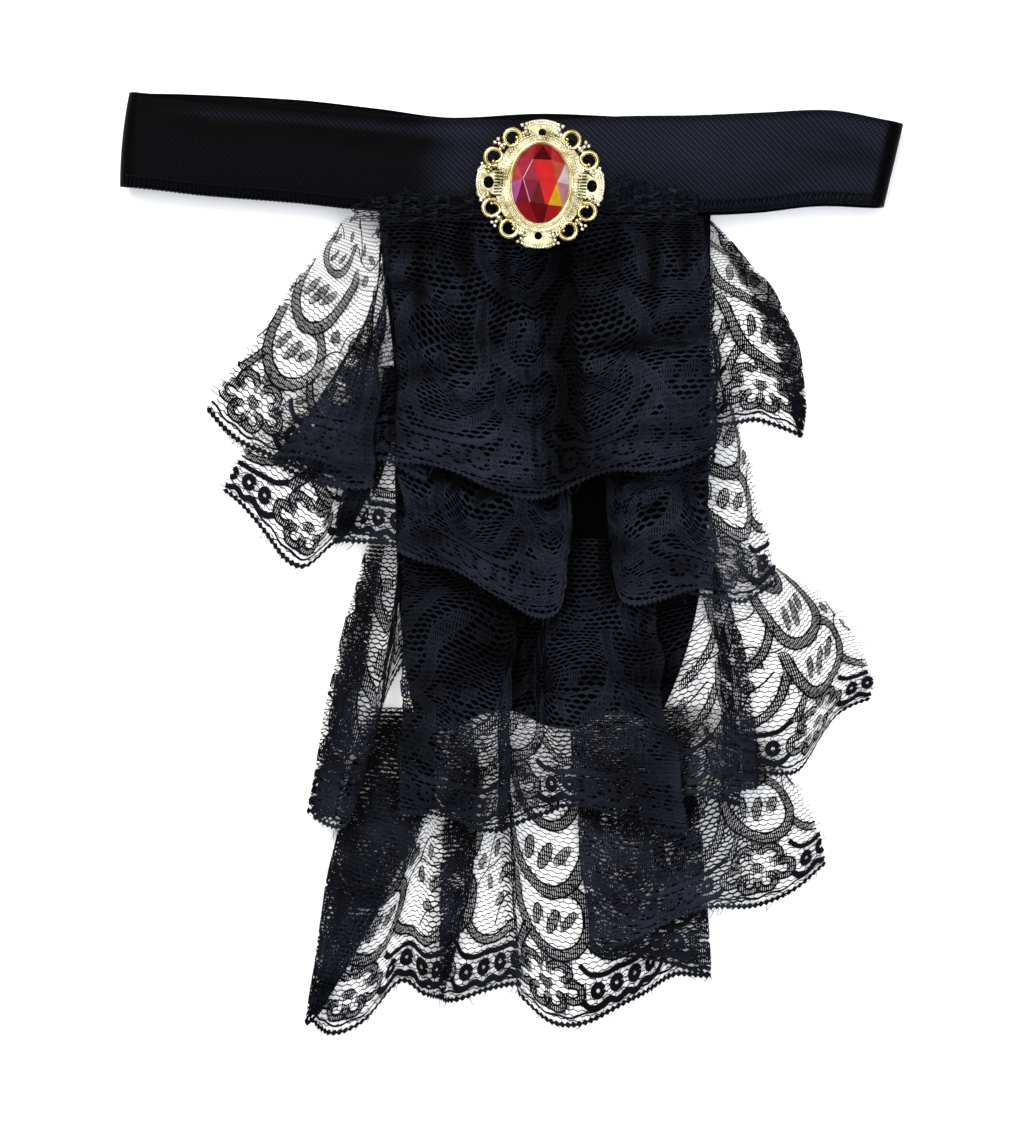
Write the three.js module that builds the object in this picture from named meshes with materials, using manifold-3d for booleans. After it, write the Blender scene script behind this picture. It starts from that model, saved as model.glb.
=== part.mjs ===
// A black lace jabot, lying face up: a closed satin neck band, four tiers of gathered lace on a
// backing, and a gilt filigree ornament with a red stone. Millimetres, +Z up, +Y towards the band.

import * as THREE from "three";
import { ConvexGeometry } from "three/addons/geometries/ConvexGeometry.js";
import { mergeVertices } from "three/addons/utils/BufferGeometryUtils.js";
import Module from "manifold-3d";

const wasm = await Module();
wasm.setup();

// Fit between neighbouring pieces
const gap = 0.4;

// Neck band
const bandLoop = 408; // length once round
const bandHeight = 24.8;
const bandWall = 1.2;
const neckHollow = 6; // clear height inside the loop as it lies
const bandCrown = 0.7; // how far the front layer bows up
const leftLean = 2.4; // how far the left end's top corner leans in
const rightLean = 5; // how far the right end slants over the band's height
const ornamentAlong = 0.536; // place of the ornament along the flattened band, from its left end
const frontStep = 9; // length of the band's faces in front, at the back and round its ends
const backStep = 14;
const turnStep = 2.3;

// Lace and backing
const laceWall = 1;
const layerPitch = 1.9; // from one folded layer of a ruffle to the next, at the hem
const seamPitch = 1.45; // the same, where the ruffle is gathered
const gatherPitch = 8; // from one small gather to the next, along the seam
const gatherDepth = 0.5;
const scallopLength = 43; // one repeat of the lace edging
const scallopDepth = 1.6;
const foldStep = 6.5; // length of the ruffles' faces along the hem
const backingWidth = 85;
const backingShift = 1.3; // of its middle, to the right of the ornament
const backingFoot = 66; // width at its lower edge
const footShift = -3;
const backingDrop = 128;
const backingHang = 2.2; // height of the backing's top edge, where the band holds it
const hangLength = 26; // distance from the band in which hanging cloth comes down
const settleRadius = 4; // how widely a layer spreads what lies under it

// Heading
const headingLength = 89;
const headingShift = -3.5;
const headingHeight = 9;
const headingWaves = 17;
const headingWave = 1.1; // height of the waves
const headingPressed = 0.6; // share of that height that the ornament presses down

// Ruffles: where each is sewn on, how far it drops, and how far its wings reach to either side
const ruffleSizes = {
  top_ruffle: { seam: 0, drop: 71, reach: 86 },
  second_ruffle: { seam: 39, drop: 61.5, reach: 82 },
  third_ruffle: { seam: 82.5, drop: 75.5, reach: 86 },
  bottom_ruffle: { seam: 126, drop: 82.7, reach: 74 },
};

// Ornament
const stoneWidth = 14.4;
const stoneLength = 20;
const stoneHeight = 4.2;
const stoneGirdle = 1.2;
const stoneSeat = 0.25; // clearance round and under the stone
const ornamentRadius = 16.3;
const ornamentRise = 6.4; // height of its centre above the band's lower edge
const ornamentTurn = -2.3; // degrees
const plateThickness = 1.3;
const bezelWall = 0.8;
const bezelHeight = 1.7;
const collarWidth = 1.1;
const collarHeight = 0.7;
const rimWidth = 2.1; // plate outside the collar, at the sides
const rimLength = 0.9; // and at the ends
const scallopRadius = 1.9; // rounds on the edge of the end and side plates
const scallopStep = 10; // degrees from one round to the next
const plateWidth = 5.9;
const wireLoopRadius = 2.65;
const wireLoopHole = 1.75;
const endHole = 1; // radius of the holes in the top and bottom plates
const sideHoleWidth = 2.7; // of the holes in the side plates
const sideHoleLength = 3.2;
const holeCentre = 13.1; // distance of those holes from the ornament's centre
const beadRadius = 1.05;
const roundSides = 36; // faces round the plate and its bezel
const pinLength = 20;
const pinRadius = 0.6;
const pinFoot = 0.85; // radius of its two feet
const footSpacing = 16;
const pinRise = 14; // height of the pin above the band's lower edge

// Angles of the ornament's plates, wire loops and beads round its centre, in degrees
const plateAngles = [0, 90, 180, 270];
const loopAngles = [28, 57, 123, 152, 208, 237, 303, 332];
const beadAngles = [15, 42.5, 73, 107, 137.5, 165, 195, 222.5, 253, 287, 317.5, 345];

// Places that follow from the sizes
const bandTurn = (neckHollow + bandWall) / 2;
const bandRun = bandLoop / 2 - Math.PI * bandTurn;
const bandSpan = bandRun + 2 * bandTurn + bandWall;
const bandLeft = -ornamentAlong * bandSpan;
const bandFront = 2 * bandWall + neckHollow; // top of the front layer, without its crown

// A table with named columns: each row becomes an object
const table = (columns, rows) =>
  rows.map((row) => Object.fromEntries(columns.map((name, i) => [name, row[i]])));

// The band's edges, from the left end to the right: along is a share of its span, the rest are
// shares of its height. lower is the front layer's lower edge, back how far the back layer shows above.
const bandStations = table(
  ["along", "lower", "height", "back"],
  [
    [0, 0.26, 0.97, 0.03],
    [0.1, 0.175, 0.99, 0.08],
    [0.23, 0.09, 0.99, 0.11],
    [0.33, 0.01, 1, 0.09],
    [0.42, 0, 0.96, 0.05],
    [0.536, 0, 0.94, 0.11],
    [0.64, 0, 0.98, 0.04],
    [0.73, 0, 0.99, 0],
    [0.82, 0.02, 1, 0],
    [0.91, 0.09, 0.95, 0],
    [1, 0.07, 0.85, 0],
  ],
);

// Folds of each ruffle, from its left raw edge to its right one. top, mid and hem are places across
// as shares of the reach, drop is the hem's depth as a share of the ruffle's drop, and layer is
// how many layers the fold lies above what is under the ruffle.
const foldColumns = ["top", "mid", "hem", "drop", "layer"];
const ruffleFolds = {
  top_ruffle: table(foldColumns, [
    [-0.58, -0.79, -0.995, 0.69, 0],
    [-0.55, -0.66, -0.85, 0.83, 0],
    [-0.52, -0.56, -0.69, 0.96, 0],
    [-0.48, -0.46, -0.52, 0.99, 0],
    [-0.42, -0.34, -0.33, 0.94, 0.4],
    [-0.487, -0.44, -0.433, 0.885, 1.3],
    [-0.34, -0.31, -0.3, 0.93, 2.4],
    [-0.24, -0.19, -0.165, 0.98, 2],
    [-0.13, -0.075, -0.035, 1, 2.5],
    [0, 0.06, 0.07, 0.997, 1.5],
    [0.13, 0.15, 0.18, 0.957, 2.5],
    [0.3, 0.33, 0.34, 0.906, 2.5],
    [0.487, 0.52, 0.52, 0.848, 1.3],
    [0.42, 0.43, 0.42, 0.84, 0.4],
    [0.463, 0.54, 0.56, 0.75, 0],
    [0.478, 0.64, 0.66, 0.72, 0],
    [0.49, 0.764, 0.785, 0.81, 0],
  ]),
  second_ruffle: table(foldColumns, [
    [-0.656, -0.87, -1, 0.53, 0],
    [-0.61, -0.75, -0.87, 0.675, 0],
    [-0.56, -0.61, -0.737, 0.81, 0],
    [-0.58, -0.64, -0.69, 0.72, 0.7],
    [-0.52, -0.53, -0.61, 0.767, 1.4],
    [-0.484, -0.46, -0.516, 0.75, 1.2],
    [-0.42, -0.36, -0.35, 0.78, 0.9],
    [-0.5, -0.447, -0.444, 0.733, 1.8],
    [-0.344, -0.312, -0.28, 0.846, 2.6],
    [-0.22, -0.17, -0.125, 0.97, 2.7],
    [-0.01, 0.066, 0.056, 0.996, 2],
    [0.03, 0.075, 0.078, 0.46, 1.2],
    [0.08, 0.135, 0.14, 0.4, 0.3],
    [0.125, 0.2, 0.2, 0.46, 1.2],
    [0.165, 0.21, 0.25, 0.94, 2],
    [0.28, 0.33, 0.36, 0.954, 2.7],
    [0.51, 0.54, 0.54, 0.937, 1.6],
    [0.4375, 0.45, 0.4375, 0.93, 0.7],
    [0.5, 0.54, 0.57, 0.937, 0],
    [0.54, 0.625, 0.64, 0.967, 0.2],
    [0.5625, 0.66, 0.75, 0.908, 0],
  ]),
  third_ruffle: table(foldColumns, [
    [-0.454, -0.53, -0.582, 0.93, 0],
    [-0.507, -0.615, -0.695, 0.95, 0.6],
    [-0.463, -0.537, -0.627, 0.97, 1.3],
    [-0.424, -0.466, -0.57, 0.955, 1.3],
    [-0.403, -0.412, -0.406, 0.41, 0.9],
    [-0.343, -0.328, -0.328, 0.9, 0.5],
    [-0.418, -0.412, -0.424, 0.915, 1.4],
    [-0.328, -0.313, -0.343, 0.94, 2.4],
    [-0.185, -0.21, -0.254, 0.973, 2.2],
    [-0.12, -0.12, -0.18, 0.997, 1.8],
    [-0.09, -0.08, -0.1, 0.973, 1.8],
    [-0.12, -0.12, -0.128, 0.973, 1.1],
    [-0.075, -0.054, -0.054, 0.95, 0.4],
    [0, 0, 0.024, 0.94, 0.8],
    [0.03, 0.036, 0.09, 0.925, 1.8],
    [0.18, 0.21, 0.254, 0.95, 2.4],
    [0.33, 0.367, 0.44, 0.98, 1.8],
    [0.27, 0.313, 0.343, 0.95, 1],
    [0.478, 0.513, 0.478, 0.864, 0.6],
    [0.49, 0.597, 0.612, 0.895, 0],
    [0.507, 0.746, 0.776, 0.78, 0.2],
    [0.52, 0.85, 0.89, 0.61, 0],
    [0.53, 0.89, 0.997, 0.566, 0],
  ]),
  bottom_ruffle: table(foldColumns, [
    [-0.24, -0.434, -0.78, 0.965, 1.3],
    [-0.49, -0.69, -0.81, 0.969, 0.6],
    [-0.43, -0.586, -0.731, 1, 0],
    [-0.38, -0.483, -0.614, 0.972, 0],
    [-0.328, -0.397, -0.483, 0.876, 0.2],
    [-0.293, -0.328, -0.397, 0.913, 0.9],
    [-0.24, -0.26, -0.293, 0.92, 0.2],
    [-0.17, -0.17, -0.138, 0.88, 0.9],
    [-0.1, -0.093, -0.066, 0.867, 1.6],
    [-0.145, -0.125, -0.1, 0.88, 0.9],
    [-0.086, -0.076, -0.034, 0.92, 0.2],
    [-0.034, 0.017, 0.052, 0.97, 0],
    [0.07, 0.138, 0.172, 0.985, 0.1],
    [0.207, 0.293, 0.345, 0.923, 0.1],
    [0.345, 0.43, 0.476, 0.82, 0.1],
    [0.517, 0.56, 0.597, 0.824, 0.8],
    [0.276, 0.33, 0.36, 0.8, 1.5],
    [0.086, 0.131, 0.172, 0.743, 2.2],
    [0.345, 0.38, 0.38, 0.7, 2.9],
    [0.53, 0.6, 0.62, 0.62, 1.9],
    [0.55, 0.71, 0.76, 0.6, 0.6],
    [0.57, 0.828, 0.897, 0.567, 0],
    [0.586, 0.886, 1, 0.505, 0],
  ]),
};

// Cuts a span into steps no longer than the length given, at least two
const steps = (length, longest) => Math.max(2, Math.round(length / longest));

// A value of a table's column at a place along it, on a smooth line through its rows
function along(rows, column, share) {
  const last = rows.length - 1;
  let i = rows.findIndex((row) => row.along > share) - 1;
  if (i < 0) i = share <= rows[0].along ? 0 : last - 1;
  const t = (share - rows[i].along) / (rows[i + 1].along - rows[i].along);
  const at = (k) => rows[Math.min(last, Math.max(0, k))][column];
  const slope = (k) => (at(k + 1) - at(k - 1)) / 2;
  const t2 = t * t;
  const t3 = t2 * t;
  return (
    (2 * t3 - 3 * t2 + 1) * at(i) +
    (t3 - 2 * t2 + t) * slope(i) +
    (3 * t2 - 2 * t3) * at(i + 1) +
    (t3 - t2) * slope(i + 1)
  );
}

// A closed wall of cloth about a surface. us and vs are the places at which the surface is cut
// into faces; a closed wall joins its last column to its first.
function clothWall(surface, us, vs, wall, closed = false) {
  const small = 1e-3;
  const corners = [];
  for (const side of [0.5, -0.5])
    for (const u of us)
      for (const v of vs) {
        const here = surface(u, v);
        const acrossU = surface(u + small, v).sub(surface(u - small, v));
        const acrossV = surface(u, Math.min(1, v + small)).sub(surface(u, Math.max(0, v - small)));
        const normal = acrossV.cross(acrossU).normalize();
        corners.push(here.addScaledVector(normal, side * wall));
      }
  const columns = us.length;
  const rows = vs.length;
  const index = [];
  const at = (side, i, j) => (side * columns + (i % columns)) * rows + j;
  const quad = (a, b, c, d) => index.push(a, b, c, a, c, d);
  const spans = closed ? columns : columns - 1;
  for (let i = 0; i < spans; i++) {
    for (let j = 0; j < rows - 1; j++) {
      quad(at(0, i, j), at(0, i, j + 1), at(0, i + 1, j + 1), at(0, i + 1, j));
      quad(at(1, i, j), at(1, i + 1, j), at(1, i + 1, j + 1), at(1, i, j + 1));
    }
    quad(at(0, i, 0), at(0, i + 1, 0), at(1, i + 1, 0), at(1, i, 0));
    quad(at(0, i, rows - 1), at(1, i, rows - 1), at(1, i + 1, rows - 1), at(0, i + 1, rows - 1));
  }
  if (!closed)
    for (let j = 0; j < rows - 1; j++) {
      const end = columns - 1;
      quad(at(0, 0, j), at(1, 0, j), at(1, 0, j + 1), at(0, 0, j + 1));
      quad(at(0, end, j), at(0, end, j + 1), at(1, end, j + 1), at(1, end, j));
    }
  const geometry = new THREE.BufferGeometry().setFromPoints(corners).setIndex(index);
  geometry.computeVertexNormals();
  return geometry;
}

// Even shares from 0 to 1
const shares = (count) => Array.from({ length: count + 1 }, (_, i) => i / count);

// What has been laid so far, as heights over a square grid. Each piece settles on it in turn.
class Pile {
  constructor(cell, reach) {
    this.cell = cell;
    this.size = Math.ceil((2 * reach) / cell);
    this.reach = reach;
    this.heights = new Float32Array(this.size * this.size);
    this.smooth = this.heights.slice();
  }
  index(x, y) {
    const place = (value) =>
      Math.min(this.size - 1, Math.max(0, Math.round((value + this.reach) / this.cell)));
    return place(y) * this.size + place(x);
  }
  // Raises the heights under a surface, then spreads and evens them out for the next piece
  lay(surface, wall) {
    const columns = 240;
    const rows = 70;
    for (const u of shares(columns))
      for (const v of shares(rows)) {
        const p = surface(u, v);
        const k = this.index(p.x, p.y);
        this.heights[k] = Math.max(this.heights[k], p.z + wall / 2 + gap);
      }
    const spread = this.window(this.heights, (values) => Math.max(...values));
    this.smooth = this.window(spread, (values) => values.reduce((a, b) => a + b) / values.length);
  }
  window(field, combine) {
    const n = Math.ceil(settleRadius / this.cell);
    const out = new Float32Array(field.length);
    for (let row = 0; row < this.size; row++)
      for (let column = 0; column < this.size; column++) {
        const values = [];
        for (let i = Math.max(0, row - n); i <= Math.min(this.size - 1, row + n); i++)
          for (let j = Math.max(0, column - n); j <= Math.min(this.size - 1, column + n); j++)
            if (Math.hypot(i - row, j - column) <= n) values.push(field[i * this.size + j]);
        out[row * this.size + column] = combine(values);
      }
    return out;
  }
  support(x, y) {
    const fx = (x + this.reach) / this.cell;
    const fy = (y + this.reach) / this.cell;
    const column = Math.min(this.size - 2, Math.max(0, Math.floor(fx)));
    const row = Math.min(this.size - 2, Math.max(0, Math.floor(fy)));
    const s = fx - column;
    const t = fy - row;
    const at = (i, j) => this.smooth[(row + i) * this.size + column + j];
    return (1 - t) * ((1 - s) * at(0, 0) + s * at(0, 1)) + t * ((1 - s) * at(1, 0) + s * at(1, 1));
  }
}

// Gathered edge of the lace over the band: height is a share of the heading's height
const headingStations = table(
  ["along", "height"],
  [
    [0, 0.3],
    [0.2, 0.55],
    [0.35, 0.6],
    [0.5, 0.45],
    [0.68, 0.95],
    [0.8, 0.9],
    [1, 0.45],
  ],
);

// Height of cloth that comes down from the band, before it meets what it lies on
const hang = (attached, y) => attached * Math.min(1, Math.max(0, 1 + y / hangLength)) ** 2;

// Neck band

function bandSurface(u, v) {
  const walk = (((u % 1) + 1) % 1) * bandLoop;
  const arc = Math.PI * bandTurn;
  const straight = bandRun;
  let x = 0;
  let z = 0;
  let back = 0;
  if (walk < straight) {
    x = walk;
    z = bandTurn;
  } else if (walk < straight + arc) {
    const angle = (walk - straight) / bandTurn;
    x = straight + bandTurn * Math.sin(angle);
    z = bandTurn * Math.cos(angle);
    back = angle / Math.PI;
  } else if (walk < 2 * straight + arc) {
    x = 2 * straight + arc - walk;
    z = -bandTurn;
    back = 1;
  } else {
    const angle = (walk - 2 * straight - arc) / bandTurn;
    x = -bandTurn * Math.sin(angle);
    z = -bandTurn * Math.cos(angle);
    back = 1 - angle / Math.PI;
  }
  const share = (x + bandTurn) / (bandRun + 2 * bandTurn);
  const lower = along(bandStations, "lower", share) + back * along(bandStations, "back", share);
  const height = along(bandStations, "height", share);
  const front = 1 - back;
  const crown = bandCrown * front * Math.sin(Math.PI * v) * Math.sin(Math.PI * share);
  const leftLeaning = leftLean * Math.max(0, 1 - 12 * share) * v * v;
  const rightLeaning = rightLean * Math.max(0, 4 * share - 3) * (v - 1);
  return new THREE.Vector3(
    bandLeft + bandTurn + bandWall / 2 + x + leftLeaning + rightLeaning,
    bandHeight * (lower + v * height),
    z + bandTurn + bandWall / 2 + crown,
  );
}

function bandColumns() {
  const places = [];
  const arc = Math.PI * bandTurn;
  const add = (start, length, longest) => {
    const count = steps(length, longest);
    for (let i = 0; i < count; i++) places.push((start + (length * i) / count) / bandLoop);
  };
  add(0, bandRun, frontStep);
  add(bandRun, arc, turnStep);
  add(bandRun + arc, bandRun, backStep);
  add(2 * bandRun + arc, arc, turnStep);
  return places;
}

// Backing, sewn to the band's lower edge and lying on the surface below it
function backingSurface(u, v) {
  const low = v ** 6; // it narrows in its lowest part
  const width = THREE.MathUtils.lerp(backingWidth, backingFoot, low);
  const x = (u - 0.5) * width + THREE.MathUtils.lerp(backingShift, footShift, low);
  const y = -2 * gap - v * (backingDrop - 2 * gap);
  return new THREE.Vector3(x, y, laceWall / 2 + hang(backingHang, y));
}

// A ruffle's surface: u runs along its folds and v from the seam down to the hem
function ruffleSurface(name, pile) {
  const { seam, drop, reach } = ruffleSizes[name];
  const folds = ruffleFolds[name];
  const start = Math.max(seam, 2 * gap);
  const line = (place) => new THREE.CatmullRomCurve3(folds.map(place));
  const top = line((f) => new THREE.Vector3(f.top * reach, -start, f.layer * seamPitch));
  const hem = line((f) => new THREE.Vector3(f.hem * reach, -seam - f.drop * drop, f.layer * layerPitch));
  const mid = line(
    (f) =>
      new THREE.Vector3(
        f.mid * reach,
        -start - 0.47 * f.drop * drop,
        (f.layer * (seamPitch + layerPitch)) / 2,
      ),
  );
  const hemLength = hem.getLength();
  const surface = (u, v) => {
    const t = Math.min(1, Math.max(0, u));
    const p = top.getPoint(t).multiplyScalar((1 - v) * (1 - 2 * v));
    p.addScaledVector(mid.getPoint(t), 4 * v * (1 - v));
    p.addScaledVector(hem.getPoint(t), v * (2 * v - 1));
    p.y -= scallopDepth * v * v * Math.cos((2 * Math.PI * t * hemLength) / scallopLength);
    const gather = 1 + Math.cos((2 * Math.PI * top.getPoint(t).x) / gatherPitch);
    p.z += (gatherDepth / 2) * gather * (1 - v) ** 2;
    const under = pile.support(p.x, p.y);
    const held = seam === 0 ? hang(backingHang + laceWall + gap, p.y) : 0;
    p.z = Math.max(0, p.z) + laceWall / 2 + Math.max(under, held);
    return p;
  };
  return { surface, folds, reach };
}

function ruffleColumns(folds, reach) {
  const places = [0];
  const last = folds.length - 1;
  for (let i = 0; i < last; i++) {
    const count = steps(Math.abs(folds[i + 1].hem - folds[i].hem) * reach, foldStep);
    for (let k = 1; k <= count; k++) places.push((i + k / count) / last);
  }
  return places;
}

// Heading: the gathered edge of the lace, standing in waves over the band's lower edge
function headingSurface(u, v) {
  const x = headingShift + (u - 0.5) * headingLength;
  const tall = headingHeight * along(headingStations, "height", Math.min(1, Math.max(0, u)));
  const wave = (1 - Math.cos(2 * Math.PI * headingWaves * u)) / 2;
  const pressed = 1 - headingPressed * Math.exp(-((x / ornamentRadius) ** 4));
  const lift = headingWave * wave * pressed * (0.25 + 0.75 * v);
  const base = bandFront + bandCrown + laceWall / 2;
  return new THREE.Vector3(x, 2 * gap + v * tall, base + gap + lift);
}

// Ornament

// A geometry as a solid for joining and cutting
function solid(geometry) {
  const plain = geometry.clone();
  plain.deleteAttribute("normal");
  plain.deleteAttribute("uv");
  const merged = mergeVertices(plain, 1e-4);
  return new wasm.Manifold(
    new wasm.Mesh({
      numProp: 3,
      vertProperties: new Float32Array(merged.attributes.position.array),
      triVerts: new Uint32Array(merged.index.array),
    }),
  );
}

function geometryOf(body) {
  const mesh = body.getMesh();
  const geometry = new THREE.BufferGeometry();
  geometry.setAttribute("position", new THREE.BufferAttribute(mesh.vertProperties, 3));
  geometry.setIndex(new THREE.BufferAttribute(mesh.triVerts, 1));
  const flat = geometry.toNonIndexed();
  flat.computeVertexNormals();
  return flat;
}

// An upright disc, oval when its half width and half length differ
function disc(halfWidth, halfLength, bottom, top, sides) {
  const shape = new THREE.CylinderGeometry(1, 1, top - bottom, sides);
  shape.rotateX(Math.PI / 2).scale(halfWidth, halfLength, 1).translate(0, 0, (top + bottom) / 2);
  return shape;
}

const polar = (radius, degrees) =>
  new THREE.Vector2(
    radius * Math.cos(THREE.MathUtils.degToRad(degrees)),
    radius * Math.sin(THREE.MathUtils.degToRad(degrees)),
  );

function settingSolid() {
  const halfWidth = stoneWidth / 2 + stoneSeat;
  const halfLength = stoneLength / 2 + stoneSeat;
  const top = plateThickness;
  const bezelOuter = [halfWidth + bezelWall, halfLength + bezelWall];
  const collarOuter = bezelOuter.map((half) => half + collarWidth);
  const loopCentre = ornamentRadius - wireLoopRadius;
  const place = (geometry, at) => solid(geometry.translate(at.x, at.y, 0));

  let body = solid(disc(collarOuter[0] + rimWidth, collarOuter[1] + rimLength, 0, top, roundSides));
  body = body.add(solid(disc(...collarOuter, top / 2, top + collarHeight, roundSides)));
  body = body.add(solid(disc(...bezelOuter, top / 2, top + bezelHeight, roundSides)));

  for (const angle of loopAngles)
    body = body.add(place(disc(wireLoopRadius, wireLoopRadius, 0, top, 16), polar(loopCentre, angle)));

  // scalloped plates
  const inner = collarOuter[0];
  const outer = ornamentRadius - scallopRadius;
  for (const angle of plateAngles) {
    for (const step of [-scallopStep, 0, scallopStep])
      body = body.add(place(disc(scallopRadius, scallopRadius, 0, top, 14), polar(outer, angle + step)));
    const web = new THREE.BoxGeometry(outer - inner, plateWidth, top);
    web.translate((inner + outer) / 2, 0, top / 2);
    body = body.add(solid(web.rotateZ(THREE.MathUtils.degToRad(angle))));
  }

  // beads in the hollows between the loops and the plates
  for (const angle of beadAngles) {
    const bead = new THREE.SphereGeometry(beadRadius, 10, 5);
    bead.rotateX(Math.PI / 2).translate(0, 0, top * 0.75);
    body = body.add(place(bead, polar(loopCentre - 0.2 * beadRadius, angle)));
  }

  // the stone's seat, then the gaps of the filigree
  body = body.subtract(solid(disc(halfWidth, halfLength, top, top + 2 * bezelHeight, roundSides)));
  for (const angle of loopAngles)
    body = body.subtract(place(disc(wireLoopHole, wireLoopHole, -1, 2 * top, 12), polar(loopCentre, angle)));
  for (const angle of plateAngles) {
    const end = angle % 180 === 90;
    const hole = end
      ? disc(endHole, endHole, -1, 2 * top, 12)
      : disc(sideHoleWidth / 2, sideHoleLength / 2, -1, 2 * top, 12);
    body = body.subtract(place(hole, polar(holeCentre, angle)));
  }
  return body;
}

// Oval stone: a flat six-sided table, a crown of large facets and a plain girdle
function stoneGeometry() {
  const points = [];
  const ring = (width, length, height, count, turn) => {
    for (let i = 0; i < count; i++) {
      const at = polar(1, (360 * (i + turn)) / count);
      points.push(new THREE.Vector3((at.x * width) / 2, (at.y * length) / 2, height));
    }
  };
  const foot = 0.94;
  const crown = 0.8;
  const tableShare = 0.57;
  ring(stoneWidth * foot, stoneLength * foot, 0, 24, 0);
  ring(stoneWidth, stoneLength, stoneGirdle, 24, 0);
  ring(stoneWidth * crown, stoneLength * crown, stoneHeight * 0.72, 6, 0.5);
  ring(stoneWidth * tableShare, stoneLength * tableShare, stoneHeight, 6, 0);
  return new ConvexGeometry(points);
}

// Plain pin: a straight bar with a foot at each end
function pinGeometry(height) {
  const foot = height - pinRadius - gap;
  const bar = new THREE.CapsuleGeometry(pinRadius, pinLength - 2 * pinRadius, 3, 10);
  let body = solid(bar.rotateZ(Math.PI / 2));
  for (const side of [-1, 1]) {
    const post = new THREE.CylinderGeometry(pinFoot, pinFoot, foot, 10);
    post.rotateX(Math.PI / 2).translate((side * footSpacing) / 2, 0, foot / 2);
    body = body.add(solid(post));
  }
  return geometryOf(body);
}

// Assembly

const materials = {
  satin: { color: 0x17171c, roughness: 0.42, metalness: 0 },
  cloth: { color: 0x08080b, roughness: 0.85, metalness: 0 },
  lace: { color: 0x1b1c24, roughness: 0.7, metalness: 0 },
  gilt: { color: 0xe9d9a0, roughness: 0.25, metalness: 1 },
  glass: { color: 0xc3152e, roughness: 0.05, metalness: 0 },
  steel: { color: 0xb9b7ae, roughness: 0.35, metalness: 1 },
};

const jabot = new THREE.Group();

function add(name, geometry, finish) {
  const mesh = new THREE.Mesh(geometry, new THREE.MeshStandardMaterial(materials[finish]));
  mesh.name = name;
  jabot.add(mesh);
  return mesh;
}

// heights are kept out to a little past the lowest hem
const lowestHem = Math.max(...Object.values(ruffleSizes).map(({ seam, drop }) => seam + drop));
const pile = new Pile(settleRadius / 2, 1.15 * lowestHem);

add("neck_band", clothWall(bandSurface, bandColumns(), shares(4), bandWall, true), "satin");
add("backing_panel", clothWall(backingSurface, shares(8), shares(14), laceWall), "cloth");
pile.lay(backingSurface, laceWall);

for (const name of ["bottom_ruffle", "third_ruffle", "second_ruffle", "top_ruffle"]) {
  const { surface, folds, reach } = ruffleSurface(name, pile);
  add(name, clothWall(surface, ruffleColumns(folds, reach), shares(8), laceWall), "lace");
  pile.lay(surface, laceWall);
}

add("gathered_heading", clothWall(headingSurface, shares(headingWaves * 4), shares(2), laceWall), "lace");

const ornamentBase = bandFront + bandCrown + 2 * gap + laceWall + headingWave;
const ornament = new THREE.Group();
ornament.position.set(0, ornamentRise, ornamentBase);
ornament.rotation.z = THREE.MathUtils.degToRad(ornamentTurn);
jabot.add(ornament);
ornament.add(add("brooch_setting", geometryOf(settingSolid()), "gilt"));
const stone = add("brooch_stone", stoneGeometry(), "glass");
stone.position.z = plateThickness + stoneSeat;
ornament.add(stone);

const pinHeight = bandFront + bandCrown + gap + pinRadius;
const pin = add("brooch_pin", pinGeometry(ornamentBase - pinHeight + pinRadius), "steel");
pin.position.set(0, pinRise, pinHeight);

// The frame's origin is the middle of the whole jabot, on the surface that it lies on
jabot.updateMatrixWorld(true);
const box = new THREE.Box3().setFromObject(jabot, true);
jabot.position.set(-(box.min.x + box.max.x) / 2, -(box.min.y + box.max.y) / 2, -box.min.z);

const part = new THREE.Group();
part.add(jabot);
export default part;
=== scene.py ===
# A black lace jabot, lying face up: satin neck band, four tiers of gathered lace on a backing,
# and a gilt filigree brooch with a faceted red stone.
import math

import bmesh
import bpy
import numpy as np
from mathutils import Matrix, Vector


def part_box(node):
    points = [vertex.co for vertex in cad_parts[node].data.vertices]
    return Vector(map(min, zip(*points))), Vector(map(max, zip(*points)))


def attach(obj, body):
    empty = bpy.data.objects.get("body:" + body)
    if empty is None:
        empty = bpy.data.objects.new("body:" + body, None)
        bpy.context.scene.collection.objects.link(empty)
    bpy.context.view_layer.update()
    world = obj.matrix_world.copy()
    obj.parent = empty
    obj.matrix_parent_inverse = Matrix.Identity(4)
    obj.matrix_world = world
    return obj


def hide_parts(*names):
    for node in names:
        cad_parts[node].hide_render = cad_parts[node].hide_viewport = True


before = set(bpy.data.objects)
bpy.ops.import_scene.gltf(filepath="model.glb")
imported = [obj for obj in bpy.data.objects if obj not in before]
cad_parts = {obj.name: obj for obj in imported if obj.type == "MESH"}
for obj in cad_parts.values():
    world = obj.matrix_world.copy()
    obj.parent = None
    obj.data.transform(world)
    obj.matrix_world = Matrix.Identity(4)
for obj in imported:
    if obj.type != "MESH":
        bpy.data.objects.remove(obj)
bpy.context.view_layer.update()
print("frame loaded")

mm = 0.001
tau = 2 * math.pi

# Fit and places shared by the pieces, in millimetres from the jabot's own zero: the ornament's line
# and the band's lower edge
jabot = {
    "gap": 0.4,
    "ornamentRise": 6.4,
    "ornamentTurn": -2.3,  # degrees
    "laceWall": 1,
    "settleRadius": 4,  # how widely a layer spreads what lies under it
    "hangLength": 26,  # distance from the band in which hanging cloth comes down
    "backingHang": 2.2,
}

settingLow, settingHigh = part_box("brooch_setting")
zero = np.array([
    (settingLow.x + settingHigh.x) / 2 / mm,
    (settingLow.y + settingHigh.y) / 2 / mm - jabot["ornamentRise"],
    0,
])


def smooth(value):
    value = np.clip(value, 0, 1)
    return value * value * (3 - 2 * value)


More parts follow.
